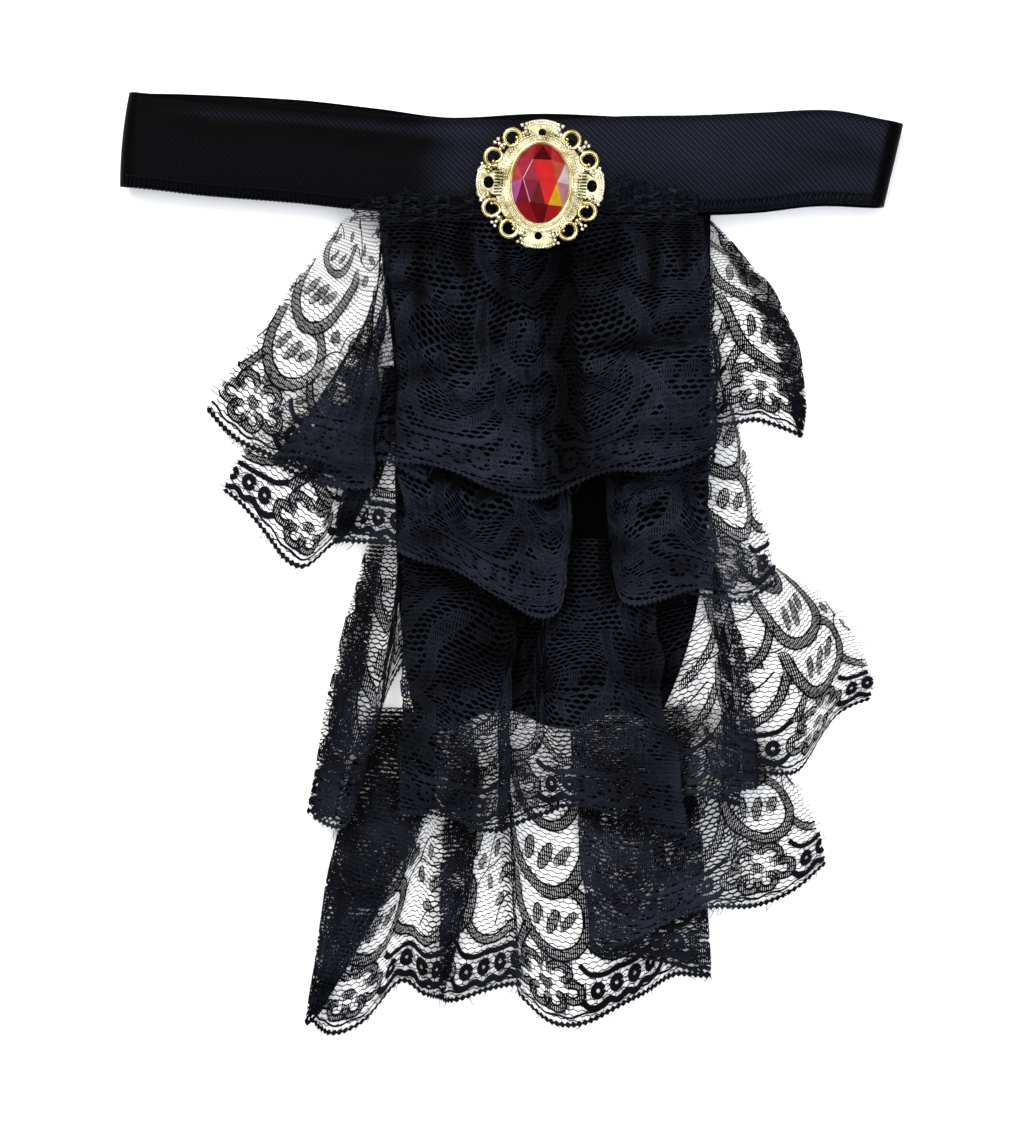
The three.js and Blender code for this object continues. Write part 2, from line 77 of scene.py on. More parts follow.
# Gentle uneven waves over a cloth, from -1 to 1: the same seed gives the same waves
def unevenness(x, y, wavelength, seed):
    draw = np.random.default_rng(int(seed))
    total = 0
    for _ in range(6):
        turn, start, stretch = draw.uniform(0, tau, 2).tolist() + [draw.uniform(0.7, 1.5)]
        along = x * math.cos(turn) + y * math.sin(turn)
        total = total + np.sin(along * tau / (wavelength * stretch) + start)
    return total / 3.2


# Materials


def linear(hexColour, alpha=1):
    values = [int(hexColour[i:i + 2], 16) / 255 for i in (1, 3, 5)]
    return [v / 12.92 if v <= 0.04045 else ((v + 0.055) / 1.055) ** 2.4 for v in values] + [alpha]


# Adds a node with its settings, and links or sets its inputs by name or number
def addNode(tree, kind, settings=None, **inputs):
    made = tree.nodes.new("ShaderNode" + kind)
    for name, value in (settings or {}).items():
        setattr(made, name, value)
    for name, value in inputs.items():
        key = int(name[1:]) if name[0] == "n" and name[1:].isdigit() else name.replace("_", " ")
        if isinstance(value, bpy.types.NodeSocket):
            tree.links.new(value, made.inputs[key])
        else:
            made.inputs[key].default_value = value
    return made


def newMaterial(name):
    material = bpy.data.materials.new(name)
    material.use_nodes = True
    material.node_tree.nodes.clear()
    return material, material.node_tree


def finishMaterial(tree, **inputs):
    shader = addNode(tree, "BsdfPrincipled", **inputs)
    addNode(tree, "OutputMaterial", Surface=shader.outputs[0])


def flatPlace(tree):
    return addNode(tree, "UVMap", {"uv_map": "flat"}).outputs[0]


def objectPlace(tree):
    return addNode(tree, "TexCoord").outputs["Object"]


def marked(tree, name, output="Fac"):
    return addNode(tree, "Attribute", {"attribute_name": name}).outputs[output]


def noise(tree, place, scale, detail, **more):
    return addNode(tree, "TexNoise", Vector=place, Scale=scale, Detail=detail, **more).outputs[0]


def bands(tree, place, scale, distortion=0, direction="DIAGONAL"):
    settings = {"bands_direction": direction}
    return addNode(tree, "TexWave", settings, Vector=place, Scale=scale, Distortion=distortion).outputs[0]


def ranged(tree, value, **limits):
    return addNode(tree, "MapRange", Value=value, **limits).outputs[0]


def times(tree, first, second):
    return addNode(tree, "Math", {"operation": "MULTIPLY"}, n0=first, n1=second).outputs[0]


# deep is in millimetres
def bumped(tree, height, strength, deep):
    return addNode(tree, "Bump", Height=height, Strength=strength, Distance=deep * mm).outputs[0]


def mixColours(tree, factor, first, second, blend="MIX"):
    mixed = addNode(tree, "Mix", {"data_type": "RGBA", "blend_type": blend}, n0=factor, n6=first, n7=second)
    return mixed.outputs[2]


# Raschel lace of black polyester thread: nearly black, a little blue, dull with a faint thread gloss
def laceMaterial(name, dark, light):
    material, tree = newMaterial(name)
    flat, place = flatPlace(tree), objectPlace(tree)
    dye = noise(tree, place, 60, 3, Roughness=0.6)
    glossAndPaintedSheen = noise(tree, flat, 0.9, 2)  # about 1 mm, a few threads
    # painted light and shade: the lace is painted lighter on the crests of the folds and darker in the
    # valleys and under other layers, with random dye patches over it
    cloud = ranged(tree, dye, From_Min=0.3, From_Max=0.7, To_Min=0.6)
    share = times(tree, cloud, marked(tree, "paintedLightShare"))
    colour = mixColours(tree, share, linear(dark), linear(light))
    rough = ranged(tree, glossAndPaintedSheen, To_Min=0.5, To_Max=0.75)
    bump = bumped(tree, bands(tree, flat, 1.6, 1.5), 0.5, 0.06)
    finishMaterial(tree, Base_Color=colour, Roughness=rough, Normal=bump, Specular_IOR_Level=0.03)
    return material


# Stretch satin, woven in a fine twill, blue-black: its smooth lustre along the threads is painted sheen,
# lighter dye and lighter twill threads where the band's painted sheen mark is strong
def satinMaterial():
    material, tree = newMaterial("blackStretchSatin")
    flat, place = flatPlace(tree), objectPlace(tree)
    # twill lines 1.1 mm apart, twice as coarse as they are so that they show
    twill = bands(tree, flat, 0.4, 0.4)
    across = addNode(tree, "Mapping", Vector=flat, Rotation=(0, 0, math.pi / 2)).outputs[0]
    weave = times(tree, twill, bands(tree, across, 0.55))
    cloud = noise(tree, place, 45, 4, Roughness=0.55)
    lint = noise(tree, place, 2600, 1)
    cloudy = ranged(tree, cloud, From_Min=0.3, From_Max=0.7, To_Min=0.7)
    # painted sheen and shade: the band's painted sheen mark, with random patches, lightens the dye and the
    # twill threads
    share = times(tree, cloudy, marked(tree, "glossAndPaintedSheen"))
    dyeAndPaintedSheen = mixColours(tree, share, linear("#010101"), linear("#0f1016"))
    threaded = mixColours(tree, times(tree, weave, share), dyeAndPaintedSheen, linear("#232735"))
    speck = ranged(tree, lint, From_Min=0.74, From_Max=0.8, To_Max=0.3)
    colour = mixColours(tree, speck, threaded, linear("#363b4e"))
    rough = ranged(tree, cloud, To_Min=0.4, To_Max=0.55)
    bump = bumped(tree, weave, 0.5, 0.05)
    finishMaterial(tree, Base_Color=colour, Roughness=rough, Normal=bump, Specular_IOR_Level=0.015)
    return material


# Plain-woven polyester lining: dead black and matt
def liningMaterial():
    material, tree = newMaterial("blackLiningCloth")
    flat = flatPlace(tree)
    weave = times(tree, *(bands(tree, flat, 0.5, 0.6, direction) for direction in "XY"))
    dyeAndPaintedSheen = mixColours(tree, noise(tree, flat, 0.12, 4), linear("#010101"), linear("#020202"))
    colour = mixColours(tree, weave, dyeAndPaintedSheen, linear("#030304"))
    bump = bumped(tree, weave, 0.6, 0.08)
    finishMaterial(tree, Base_Color=colour, Roughness=0.92, Normal=bump, Specular_IOR_Level=0.01)
    return material


# Spun polyester sewing thread, plied, so each stitch has a slanting twist
def threadMaterial():
    material, tree = newMaterial("blackSewingThread")
    ply = bands(tree, flatPlace(tree), 2, 0.4)
    colour = mixColours(tree, ranged(tree, ply, To_Max=0.8), linear("#030304"), linear("#12141c"))
    bump = bumped(tree, ply, 0.7, 0.05)
    finishMaterial(tree, Base_Color=colour, Roughness=0.55, Normal=bump, Specular_IOR_Level=0.04)
    return material


# Cast zinc with a thin pale gilt plating, pale and deeper gold in random patches. It comes in brighter copies
# for the high places and a darker, duller copy for the low casting, which is painted shade for the gaps
# between the beads and wires
def giltMaterial(name, pale, deep, roughness):
    material, tree = newMaterial(name)
    place = objectPlace(tree)
    cloud = noise(tree, place, 320, 4, Roughness=0.6)
    grain = noise(tree, place, 3200, 2)
    share = ranged(tree, cloud, From_Min=0.35, From_Max=0.65)
    colour = mixColours(tree, share, linear(pale), linear(deep))
    rough = ranged(tree, grain, To_Min=roughness - 0.08, To_Max=roughness + 0.1)
    bump = bumped(tree, grain, 0.35, 0.05)
    finishMaterial(tree, Base_Color=colour, Metallic=1, Roughness=rough, Normal=bump)
    return material


# Moulded acrylic stone with a foil back: each facet is painted with the light it throws back, its own painted
# reflection, highlight and shade of red, under a clear gloss and broken into small painted glints
def stoneMaterial():
    material, tree = newMaterial("redAcrylicStone")
    place = objectPlace(tree)
    cells = addNode(tree, "TexVoronoi", {"feature": "F1"}, Vector=place, Scale=420).outputs[0]
    paintedGlint = ranged(tree, cells, From_Max=0.8, To_Min=0.36, To_Max=0.52)
    colour = mixColours(tree, 1.0, marked(tree, "facetPaintedLight", "Color"), paintedGlint, "MULTIPLY")
    rough = ranged(tree, noise(tree, place, 900, 1), To_Min=0.03, To_Max=0.08)
    finishMaterial(tree, Base_Color=colour, Roughness=rough, IOR=1.49, Specular_IOR_Level=0.06)
    return material


# Nickel-plated steel wire, drawn, so its fine scratches run along it
def steelMaterial():
    material, tree = newMaterial("platedSteelPin")
    drawn = addNode(tree, "Mapping", Vector=objectPlace(tree), Scale=(60, 4000, 4000)).outputs[0]
    scratch = noise(tree, drawn, 1, 3)
    colour = mixColours(tree, scratch, linear("#9a9892"), linear("#cfccc4"))
    rough = ranged(tree, scratch, To_Min=0.25, To_Max=0.45)
    finishMaterial(tree, Base_Color=colour, Metallic=1, Roughness=rough,
                   Normal=bumped(tree, scratch, 0.3, 0.02))
    return material


# Matt white paper sweep
def paperMaterial():
    material, tree = newMaterial("whitePaper")
    pulp = noise(tree, objectPlace(tree), 30, 4)
    colour = mixColours(tree, pulp, linear("#f7f7f7"), linear("#fafafa"))
    finishMaterial(tree, Base_Color=colour, Roughness=0.9, Specular_IOR_Level=0.1)
    return material


# the darker colour is the lace in painted shade, the lighter one its thread in painted light
lace = laceMaterial("blackRaschelLace", "#020203", "#1f222c")
satin = satinMaterial()
lining = liningMaterial()
sewingThread = threadMaterial()
gilt = giltMaterial("paleGiltPlate", "#ece9dc", "#bcb48f", 0.18)
giltWire = giltMaterial("giltWire", "#ddcb8c", "#a68c48", 0.16)
# the casting's darker, duller gilt is painted shade for the gaps between the beads and wires
giltCastPaintedShade = giltMaterial("giltCasting", "#bdb694", "#5d5330", 0.33)
redStone = stoneMaterial()
steel = steelMaterial()
paper = paperMaterial()
print("materials made")

# Making pieces


def cornersOf(mesh):
    corners = np.zeros(len(mesh.loops), dtype=np.int32)
    mesh.loops.foreach_get("vertex_index", corners)
    return corners


def pointsOf(mesh):
    points = np.zeros(len(mesh.vertices) * 3)
    mesh.vertices.foreach_get("co", points)
    return points.reshape(-1, 3)


# Turns a finished bmesh into a piece. place maps its flat points, in millimetres, to where they lie;
# the flat points are kept as its UV map.
def makePiece(name, shape, material, place, smoothed=True):
    mesh = bpy.data.meshes.new(name)
    shape.to_mesh(mesh)
    shape.free()
    flat = pointsOf(mesh)
    uv = mesh.uv_layers.new(name="flat")
    uv.data.foreach_set("uv", flat[cornersOf(mesh), :2].astype(np.float32).ravel())
    mesh.vertices.foreach_set("co", ((place(flat) + zero) * mm).ravel())
    mesh.polygons.foreach_set("use_smooth", [smoothed] * len(mesh.polygons))
    mesh.materials.append(material)
    mesh.update()
    piece = bpy.data.objects.new(name, mesh)
    bpy.context.scene.collection.objects.link(piece)
    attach(piece, "root")
    return piece


# Keeps a value for each point of a mesh, for its material
def keepValues(mesh, name, values):
    mesh.attributes.new(name, "FLOAT", "POINT").data.foreach_set("value", values.astype(np.float32))


# The same, worked out from each point's flat place
def markMesh(piece, name, valueAt):
    mesh = piece.data
    corners = cornersOf(mesh)
    uv = np.zeros(len(corners) * 2, dtype=np.float32)
    mesh.uv_layers["flat"].data.foreach_get("uv", uv)
    flat = np.zeros((len(mesh.vertices), 2))
    flat[corners] = uv.reshape(-1, 2)
    keepValues(mesh, name, valueAt(flat))


# Gives a thin sheet its wall, in millimetres
def thicken(piece, wall):
    made = piece.modifiers.new("cloth", "SOLIDIFY")
    made.thickness, made.offset = wall * mm, 0


# A smooth line through points (centripetal), at shares of the way from the first to the last
def curveThrough(points, share):
    points = np.asarray(points, dtype=float)
    last = len(points) - 1
    ends = np.vstack([2 * points[0] - points[1], points, 2 * points[-1] - points[-2]])
    place = np.clip(share, 0, 1) * last
    first = np.minimum(place.astype(int), last - 1)
    t = (place - first)[:, None]
    a, b, c, d = (ends[first + k] for k in range(4))
    before, between, after = (np.sqrt(np.linalg.norm(q - p, axis=1))[:, None]
                              for p, q in ((a, b), (b, c), (c, d)))
    between = np.where(between < 1e-4, 1, between)
    before = np.where(before < 1e-4, between, before)
    after = np.where(after < 1e-4, between, after)
    leave = ((b - a) / before - (c - a) / (before + between) + (c - b) / between) * between
    arrive = ((c - b) / between - (d - b) / (between + after) + (d - c) / after) * between
    return (b + leave * t + (-3 * b + 3 * c - 2 * leave - arrive) * t**2
            + (2 * b - 2 * c + leave + arrive) * t**3)


# A value along a table of (along, value) rows, on a smooth line
def alongTable(rows, column, share):
    rows = np.asarray(rows, dtype=float)
    at, values = rows[:, 0], rows[:, column]
    last = len(rows) - 1
    i = np.clip(np.searchsorted(at, share, side="right") - 1, 0, last - 1)
    t = (share - at[i]) / (at[i + 1] - at[i])
    ends = np.concatenate([values[:1], values, values[-1:]])
    start, end = (ends[i + 2] - ends[i]) / 2, (ends[i + 3] - ends[i + 1]) / 2
    return ((2 * t**3 - 3 * t**2 + 1) * values[i] + (t**3 - 2 * t**2 + t) * start
            + (3 * t**2 - 2 * t**3) * values[i + 1] + (t**3 - t**2) * end)


# What has been laid so far, as heights over a square grid, on which the next cloth settles
pile = {"cell": 2, "reach": 240}
pile["count"] = math.ceil(2 * pile["reach"] / pile["cell"])
pile["heights"] = np.zeros((pile["count"], pile["count"]))
pile["settled"] = pile["heights"].copy()


def spread(field, combine):
    n = math.ceil(jabot["settleRadius"] / pile["cell"])
    wide = np.pad(field, n, mode="edge")
    size = pile["count"]
    views = [wide[n + i:n + i + size, n + j:n + j + size]
             for i in range(-n, n + 1) for j in range(-n, n + 1) if math.hypot(i, j) <= n]
    return combine(np.stack(views), axis=0)


def pileCell(values):
    return np.clip(np.round((values + pile["reach"]) / pile["cell"]), 0, pile["count"] - 1).astype(int)


def layOnPile(points):
    column, row = pileCell(points[:, 0]), pileCell(points[:, 1])
    np.maximum.at(pile["heights"], (row, column), points[:, 2] + jabot["laceWall"] / 2 + jabot["gap"])
    pile["settled"] = spread(spread(pile["heights"], np.max), np.mean)


def support(x, y):
    last = pile["count"] - 2
    fx, fy = (x + pile["reach"]) / pile["cell"], (y + pile["reach"]) / pile["cell"]
    column, row = np.clip(fx.astype(int), 0, last), np.clip(fy.astype(int), 0, last)
    s, t = fx - column, fy - row
    h = pile["settled"]
    return ((1 - t) * ((1 - s) * h[row, column] + s * h[row, column + 1])
            + t * ((1 - s) * h[row + 1, column] + s * h[row + 1, column + 1]))


def hang(attached, y):
    return attached * np.clip(1 + y / jabot["hangLength"], 0, 1) ** 2


# Neck band

band = {
    "loop": 408, "height": 24.8, "wall": 1.2, "hollow": 6, "crown": 0.7,
    "leftLean": 2.4, "rightLean": 5, "ornamentAlong": 0.536,
    "columns": 300, "rows": 20,
    "edgeRoll": 0.9, "edgeRollWidth": 0.14,  # how far the folded top edge rolls down
    "hemHeight": 2.9, "stitchPitch": 1.15, "loopedPitch": 0.55, "stitchRadius": 0.16,
}
# along, then shares of the height: front layer's lower edge, its height, how far the back shows above
bandStations = [
    (0, 0.26, 0.97, 0.03), (0.1, 0.175, 0.99, 0.08), (0.23, 0.09, 0.99, 0.11), (0.33, 0.01, 1, 0.09),
    (0.42, 0, 0.96, 0.05), (0.536, 0, 0.94, 0.11), (0.64, 0, 0.98, 0.04), (0.73, 0, 0.99, 0),
    (0.82, 0.02, 1, 0), (0.91, 0.09, 0.95, 0), (1, 0.07, 0.85, 0),
]
# soft creases: share along, share of the height, length, width, depth, slope
bandCreases = [
    (0.93, 0.62, 30, 2.6, -0.75, -0.16), (0.965, 0.72, 22, 2.2, 0.5, -0.35), (0.86, 0.45, 34, 4, -0.5, 0.2),
    (0.3, 0.84, 70, 2.2, 0.35, -0.05), (0.06, 0.9, 22, 2.2, -0.5, -0.25),
    (0.46, 0.35, 26, 3.5, -0.35, 0.35),
    (0.68, 0.5, 40, 4.5, 0.35, -0.08),
]
bandTurn = (band["hollow"] + band["wall"]) / 2
bandArc = math.pi * bandTurn
bandRun = band["loop"] / 2 - bandArc
bandSpan = bandRun + 2 * bandTurn + band["wall"]
bandLeft = -band["ornamentAlong"] * bandSpan
bandFront = 2 * band["wall"] + band["hollow"]


# Walk round the loop in millimetres and share of the height, to where the satin lies
def bandPlace(walk, up, lift=0):
    walk = walk % band["loop"]
    turnRight, turnLeft = (walk - bandRun) / bandTurn, (walk - 2 * bandRun - bandArc) / bandTurn
    parts = [walk < bandRun, walk < bandRun + bandArc, walk < 2 * bandRun + bandArc]
    x = np.select(parts, [walk, bandRun + bandTurn * np.sin(turnRight), 2 * bandRun + bandArc - walk],
                  -bandTurn * np.sin(turnLeft))
    z = np.select(parts, [bandTurn + 0 * walk, bandTurn * np.cos(turnRight), -bandTurn + 0 * walk],
                  -bandTurn * np.cos(turnLeft))
    back = np.select(parts, [0 * walk, turnRight / math.pi, 1 + 0 * walk], 1 - turnLeft / math.pi)
    share = (x + bandTurn) / (bandRun + 2 * bandTurn)
    lower = alongTable(bandStations, 1, share) + back * alongTable(bandStations, 3, share)
    tall = alongTable(bandStations, 2, share)
    front = 1 - back
    crown = band["crown"] * front * np.sin(math.pi * np.clip(up, 0, 1)) * np.sin(math.pi * share)
    relief = -band["edgeRoll"] * smooth((up - 1 + band["edgeRollWidth"]) / band["edgeRollWidth"]) ** 2
    relief = relief - 0.35 * smooth((0.1 - up) / 0.1)
    for along, height, length, width, depth, slope in bandCreases:
        dx = (share - along) * bandSpan
        dy = (up - height) * band["height"] - slope * dx
        relief = relief + depth * np.exp(-(dx / length * 2) ** 2 - (dy / width) ** 2)
    relief = relief + 0.22 * unevenness(x, up * band["height"], 34, 3)
    fade = np.sin(math.pi * np.clip(share, 0, 1)) ** 0.3  # no creases at the turns
    leanLeft = band["leftLean"] * np.clip(1 - 12 * share, 0, None) * up * up
    leanRight = band["rightLean"] * np.clip(4 * share - 3, 0, None) * (up - 1)
    return np.stack([
        bandLeft + bandTurn + band["wall"] / 2 + x + leanLeft + leanRight,
        band["height"] * (lower + up * tall),
        z + bandTurn + band["wall"] / 2 + crown + front * (relief * fade + lift),
    ], axis=-1)


# Painted sheen and shade on the satin: painted sheen towards the right and in a highlight strip below the top
# fold at the left; painted shade at the left, along the top fold, near the lower edge, near the ornament and
# on one side of each crease; the turns and the back layer painted dark
def bandPaintedSheen(along, up):
    shown = 0.1 + 0.9 * smooth((along - 0.36) / 0.08)
    # a painted highlight strip below the top fold, at the left
    paintedHighlightStrip = np.exp(-((up - 0.84) / 0.05) ** 2) * smooth(along / 0.05) * smooth((0.46 - along) / 0.1)
    shown = shown + 0.5 * paintedHighlightStrip
    shown = shown * (1 - 0.6 * smooth((up - 0.9) / 0.08)) * (1 - 0.35 * smooth((0.25 - up) / 0.2))
    shown = shown * (1 - 0.4 * np.exp(-((along - 0.5) / 0.03) ** 2))
    for at, height, length, width, _, slope in bandCreases:
        dx, dy = (along - at) * bandSpan, (up - height) * band["height"] - slope * (along - at) * bandSpan
        shown = shown - 0.4 * np.exp(-(dx / length * 2) ** 2 - ((dy + width) / width) ** 2)
    return np.where(along > 1, 0.05, np.clip(shown, 0.04, 1.2))


def makeBand():
    shape = bmesh.new()
    columns, rows = band["columns"], band["rows"]
    bmesh.ops.create_grid(shape, x_segments=columns, y_segments=rows, size=0.5)
    for vert in shape.verts:
        vert.co = ((vert.co.x + 0.5) * band["loop"], (vert.co.y + 0.5) * band["height"], 0)

    def place(flat):
        return bandPlace(np.clip(flat[:, 0], 0, band["loop"] - 1e-4), flat[:, 1] / band["height"])

    piece = makePiece("satin_band", shape, satin, place)
    joined = bmesh.new()
    joined.from_mesh(piece.data)
    bmesh.ops.remove_doubles(joined, verts=joined.verts, dist=0.02 * mm)
    joined.to_mesh(piece.data)
    joined.free()
    thicken(piece, 0.9)
    markMesh(piece, "glossAndPaintedSheen", lambda flat: bandPaintedSheen(flat[:, 0] / bandRun, flat[:, 1] / band["height"]))
    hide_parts("neck_band")


# Overlocking along the lower edge of the front layer: slanting threads and two lines of looped thread
def makeOverlock():
    shape = bmesh.new()
    draw = np.random.default_rng(11)
    hem = band["hemHeight"]
    start, end = -0.6 * bandTurn, bandRun + 0.6 * bandTurn
    for k in range(int((end - start) / band["stitchPitch"])):
        walk = start + k * band["stitchPitch"]
        lean, tall = draw.uniform(0.4, 1.1), hem + draw.uniform(-0.25, 0.25)
        path = [(walk, -0.18, 0.35), (walk + 0.3 * lean, 0.35 * tall, 0.75),
                (walk + 0.7 * lean, 0.8 * tall, 0.7), (walk + lean, tall, 0.45)]
        addTube(shape, path, band["stitchRadius"] * draw.uniform(0.9, 1.15), 5)
    loop = band["loopedPitch"]
    for height, swing in ((hem, 0.22), (0.05, 0.2)):
        count = int((end - start) / loop)
        path = [(start + loop * k, height + swing * (-1) ** k, 0.62) for k in range(count)]
        addTube(shape, path, band["stitchRadius"] * 1.1, 5)
    makePiece("overlock_stitches", shape, sewingThread,
              lambda flat: bandPlace(flat[:, 0], flat[:, 1] / band["height"], flat[:, 2]))


# A thin round thread along a path, started from a circle that is swept to each point
def addTube(shape, path, radius, sides, closed=False):
    path = [Vector(p) for p in path]
    last = len(path) - 1
    rings = []
    for k, point in enumerate(path):
        if closed:
            way = path[(k + 1) % len(path)] - path[k - 1]
        else:
            way = path[min(k + 1, last)] - path[max(k - 1, 0)]
        turned = Matrix.Translation(point) @ way.to_track_quat("Z", "Y").to_matrix().to_4x4()
        capped = not closed and k in (0, last)
        made = bmesh.ops.create_circle(shape, segments=sides, radius=radius, cap_ends=capped, matrix=turned)
        rings.append(list({e for v in made["verts"] for e in v.link_edges}))
    pairs = list(zip(rings, rings[1:])) + ([(rings[-1], rings[0])] if closed else [])
    for first, second in pairs:
        bmesh.ops.bridge_loops(shape, edges=first + second)


makeBand()
makeOverlock()
print("band made")

# Backing

backing = {
    "under": 1.4,  # how far its top is tucked behind the band's front layer
    "width": 85, "shift": 1.3, "leftInset": 3.8, "foot": 66, "footShift": -3, "drop": 128,
    "columns": 44, "rows": 66,
}


def backingPlace(flat):
    across, down = flat[:, 0], flat[:, 1]
    low = down**6
    width = backing["width"] + (backing["foot"] - backing["width"]) * low
    shift = backing["shift"] + (backing["footShift"] - backing["shift"]) * low
    x = (across - 0.5) * width + shift
    y = backing["under"] - down * (backing["drop"] + backing["under"])
    x = x + backing["leftInset"] * smooth(-y / 45) * (1 - across) ** 3
    uneven = 3.5 * np.sin(2.4 * math.pi * across) ** 2 + 1.5 * unevenness(9 * across, 0 * across, 2.6, 12)
    y = y - uneven * down**10
    z = jabot["laceWall"] / 2 + hang(jabot["backingHang"], np.minimum(y, 0))
    return np.stack([x, y, z], axis=-1)


def makeBacking():
    shape = bmesh.new()
    bmesh.ops.create_grid(shape, x_segments=backing["columns"], y_segments=backing["rows"], size=0.5)
    for vert in shape.verts:
        vert.co = (vert.co.x + 0.5, 0.5 - vert.co.y, 0)

    def place(flat):
        points = backingPlace(flat)
        points[:, 2] += 0.18 * (1 + unevenness(points[:, 0], points[:, 1], 22, 5))
        return points

    piece = makePiece("backing_cloth", shape, lining, place)
    spanned = piece.data.uv_layers["flat"].data
    values = np.zeros(len(spanned) * 2, dtype=np.float32)
    spanned.foreach_get("uv", values)
    values = values.reshape(-1, 2) * (backing["width"], backing["drop"])
    spanned.foreach_set("uv", values.ravel().astype(np.float32))
    thicken(piece, 0.5)
    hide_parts("backing_panel")


makeBacking()
grid = np.stack(np.meshgrid(np.linspace(0, 1, 241), np.linspace(0, 1, 71)), axis=-1).reshape(-1, 2)
layOnPile(backingPlace(grid))
print("backing made")

# Lace

# The edging as it comes off the loom, laid flat: x along it, y up from its scalloped edge
edging = {
    "repeat": 43,
    "cell": (1.12, 1.22),  # half a mesh along, and one row of threads up
    "zigzag": 0.23, "thread": 0.14, "link": 0.035,  # half widths of a row's thread and of the ties
    "doubled": 0.29,  # the thread's, where the gathers lie two and three deep
    "clothwork": 0.17,  # half width of what is between the small holes of the dense parts
    "scallop": 1.6, "ridge": 0.2, "cordStep": 0.9,
    "sag": 4,  # how far the middle of the thick folds hangs down over their hems
    "gather": 0.9, "gatherPitch": 4.3,  # half height and spacing of the small folds at the seam
    "calm": 44,  # height over which the pattern keeps its size, from the hem up
    "ragged": 1.6,  # how unevenly the ends of a strip are cut
    "picots": 0.75,  # between a bead of the edge and the next gap
}


def arcPath(x, y, halfWidth, halfHeight, start, end, count=16):
    turn = np.radians(np.linspace(start, end, count))
    return np.stack([x + halfWidth * np.cos(turn), y + halfHeight * np.sin(turn)], axis=-1)


def linePath(*points):
    return curveThrough(points, np.linspace(0, 1, 5 * (len(points) - 1) + 1))


# Dense bands with a cord on each side: their middle line and width
denseBands = [
    (linePath((1.8, 49), (3.4, 40.6), (7.6, 33), (13.6, 29.8), (19.4, 32.4), (23.4, 39), (26.4, 46),
              (31, 52)), 2.9),
    (linePath((4, 31), (5.4, 23.4), (9.6, 17), (15.6, 14.8), (21.2, 17.4), (23.6, 23), (22.4, 29),
              (18.4, 32)), 2.6),
    (linePath((4.6, 63), (6.4, 54.6), (11.4, 48.6), (17.4, 48.2), (22.4, 52.6), (25.4, 60)), 2.5),
    (linePath((7.6, 19), (5.6, 15.6), (3.8, 12.6)), 2),
    (linePath((22.8, 19), (26, 15.6), (30.4, 13.4), (35, 13), (39.6, 14.8), (43.6, 19), (46.4, 25)), 1.9),
    (linePath((3.6, 40), (0.6, 34), (-2.4, 29.6), (-6, 26.6)), 1.9),
    # the palmettes' petals
    (arcPath(4.9, 6.4, 2.6, 2.1, 60, 330, 10), 1.7), (arcPath(9.4, 3.7, 2.3, 1.9, 100, 370, 10), 1.6),
    (arcPath(14, 3.7, 2.3, 1.9, 170, 440, 10), 1.6), (arcPath(18.5, 6.4, 2.6, 2.1, 210, 480, 10), 1.7),
    (arcPath(7.8, 10.7, 2.7, 1.9, 10, 250, 9), 1.6), (arcPath(15.4, 10.7, 2.7, 1.9, 290, 530, 9), 1.6),
]
# Leaves: place, length, width, turn in degrees
leaves = [
    (9.6, 39.6, 7, 2.3, 76), (13.6, 38.8, 8.4, 2.5, 66), (18, 40, 7, 2.3, 54), (11.6, 7.4, 3.6, 1.8, 0),
    (10.4, 23.4, 5.6, 2, 78), (14.4, 22.6, 6.8, 2.2, 66), (18.6, 23.6, 5.6, 2, 54),
    (11.6, 14, 3.4, 1.7, 90),
    (26.4, 33.6, 4.4, 2.5, 20), (31.2, 27.4, 4.2, 2.3, -64), (35.2, 34.8, 4.4, 2.4, 62),
    (39.4, 28.4, 3.8, 2, -38),
    (36, 21.6, 3.8, 2, 24), (36.6, 51, 4.4, 2.3, 30), (34.4, 60, 4, 2.2, 100), (41, 57.4, 4.4, 2.2, -24),
    (8.2, 60.6, 4.6, 2.3, 62), (2.8, 66, 4, 2, 130), (19.6, 62.6, 4, 2.2, 96), (14, 70, 3.6, 1.9, 40),
    (27, 68, 3.6, 1.9, 140), (12.4, 53.6, 4.6, 1.7, 70), (17.4, 54, 4.6, 1.7, 58), (36, 75, 4, 2, 20),
]
vines = [
    linePath((23, 24), (26, 29), (29.6, 31), (33, 31), (36.6, 31.8), (40, 32.6), (43.6, 31.6), (47.4, 33)),
    linePath((21, 58), (24, 60.4), (29, 59.6), (33, 56.4), (37, 54.6), (41, 54.4), (45, 57), (49, 61)),
    linePath((13, 60.8), (10, 64), (6, 66), (2, 66.6), (-2, 65)),
    linePath((29.6, 31), (31.6, 35.4), (35, 38.6), (39.6, 40.4), (43.4, 43.6)),
    linePath((33, 56.4), (31.6, 61), (29, 65), (27.4, 70)),
    linePath((33.6, 16), (36, 20), (40.4, 23), (43.6, 26)),
]
# Thick cords above and below the row of rings, each with its width
thickCords = [
    (linePath((20.6, 13.2), (23, 10.9), (27, 10), (31, 10.3), (35, 10), (39, 10.2), (43, 11),
              (46, 13)), 1.3),
    (linePath((20.8, 4.6), (23, 2.9), (25.6, 2.8), (28, 4), (30.6, 2.9), (33.2, 4), (35.8, 2.9),
              (38.4, 4), (41, 2.8),
              (43.4, 2.9), (45.6, 4.4)), 1.5),
]
rings = [(25.2, 6.6), (30.5, 7), (35.8, 7), (41.1, 6.6)]
ringRadius, ringWidth, spokes = 1.3, 1.6, 9


def hemLine(x):
    return -edging["scallop"] * np.cos(tau * (x - 11.5) / edging["repeat"])


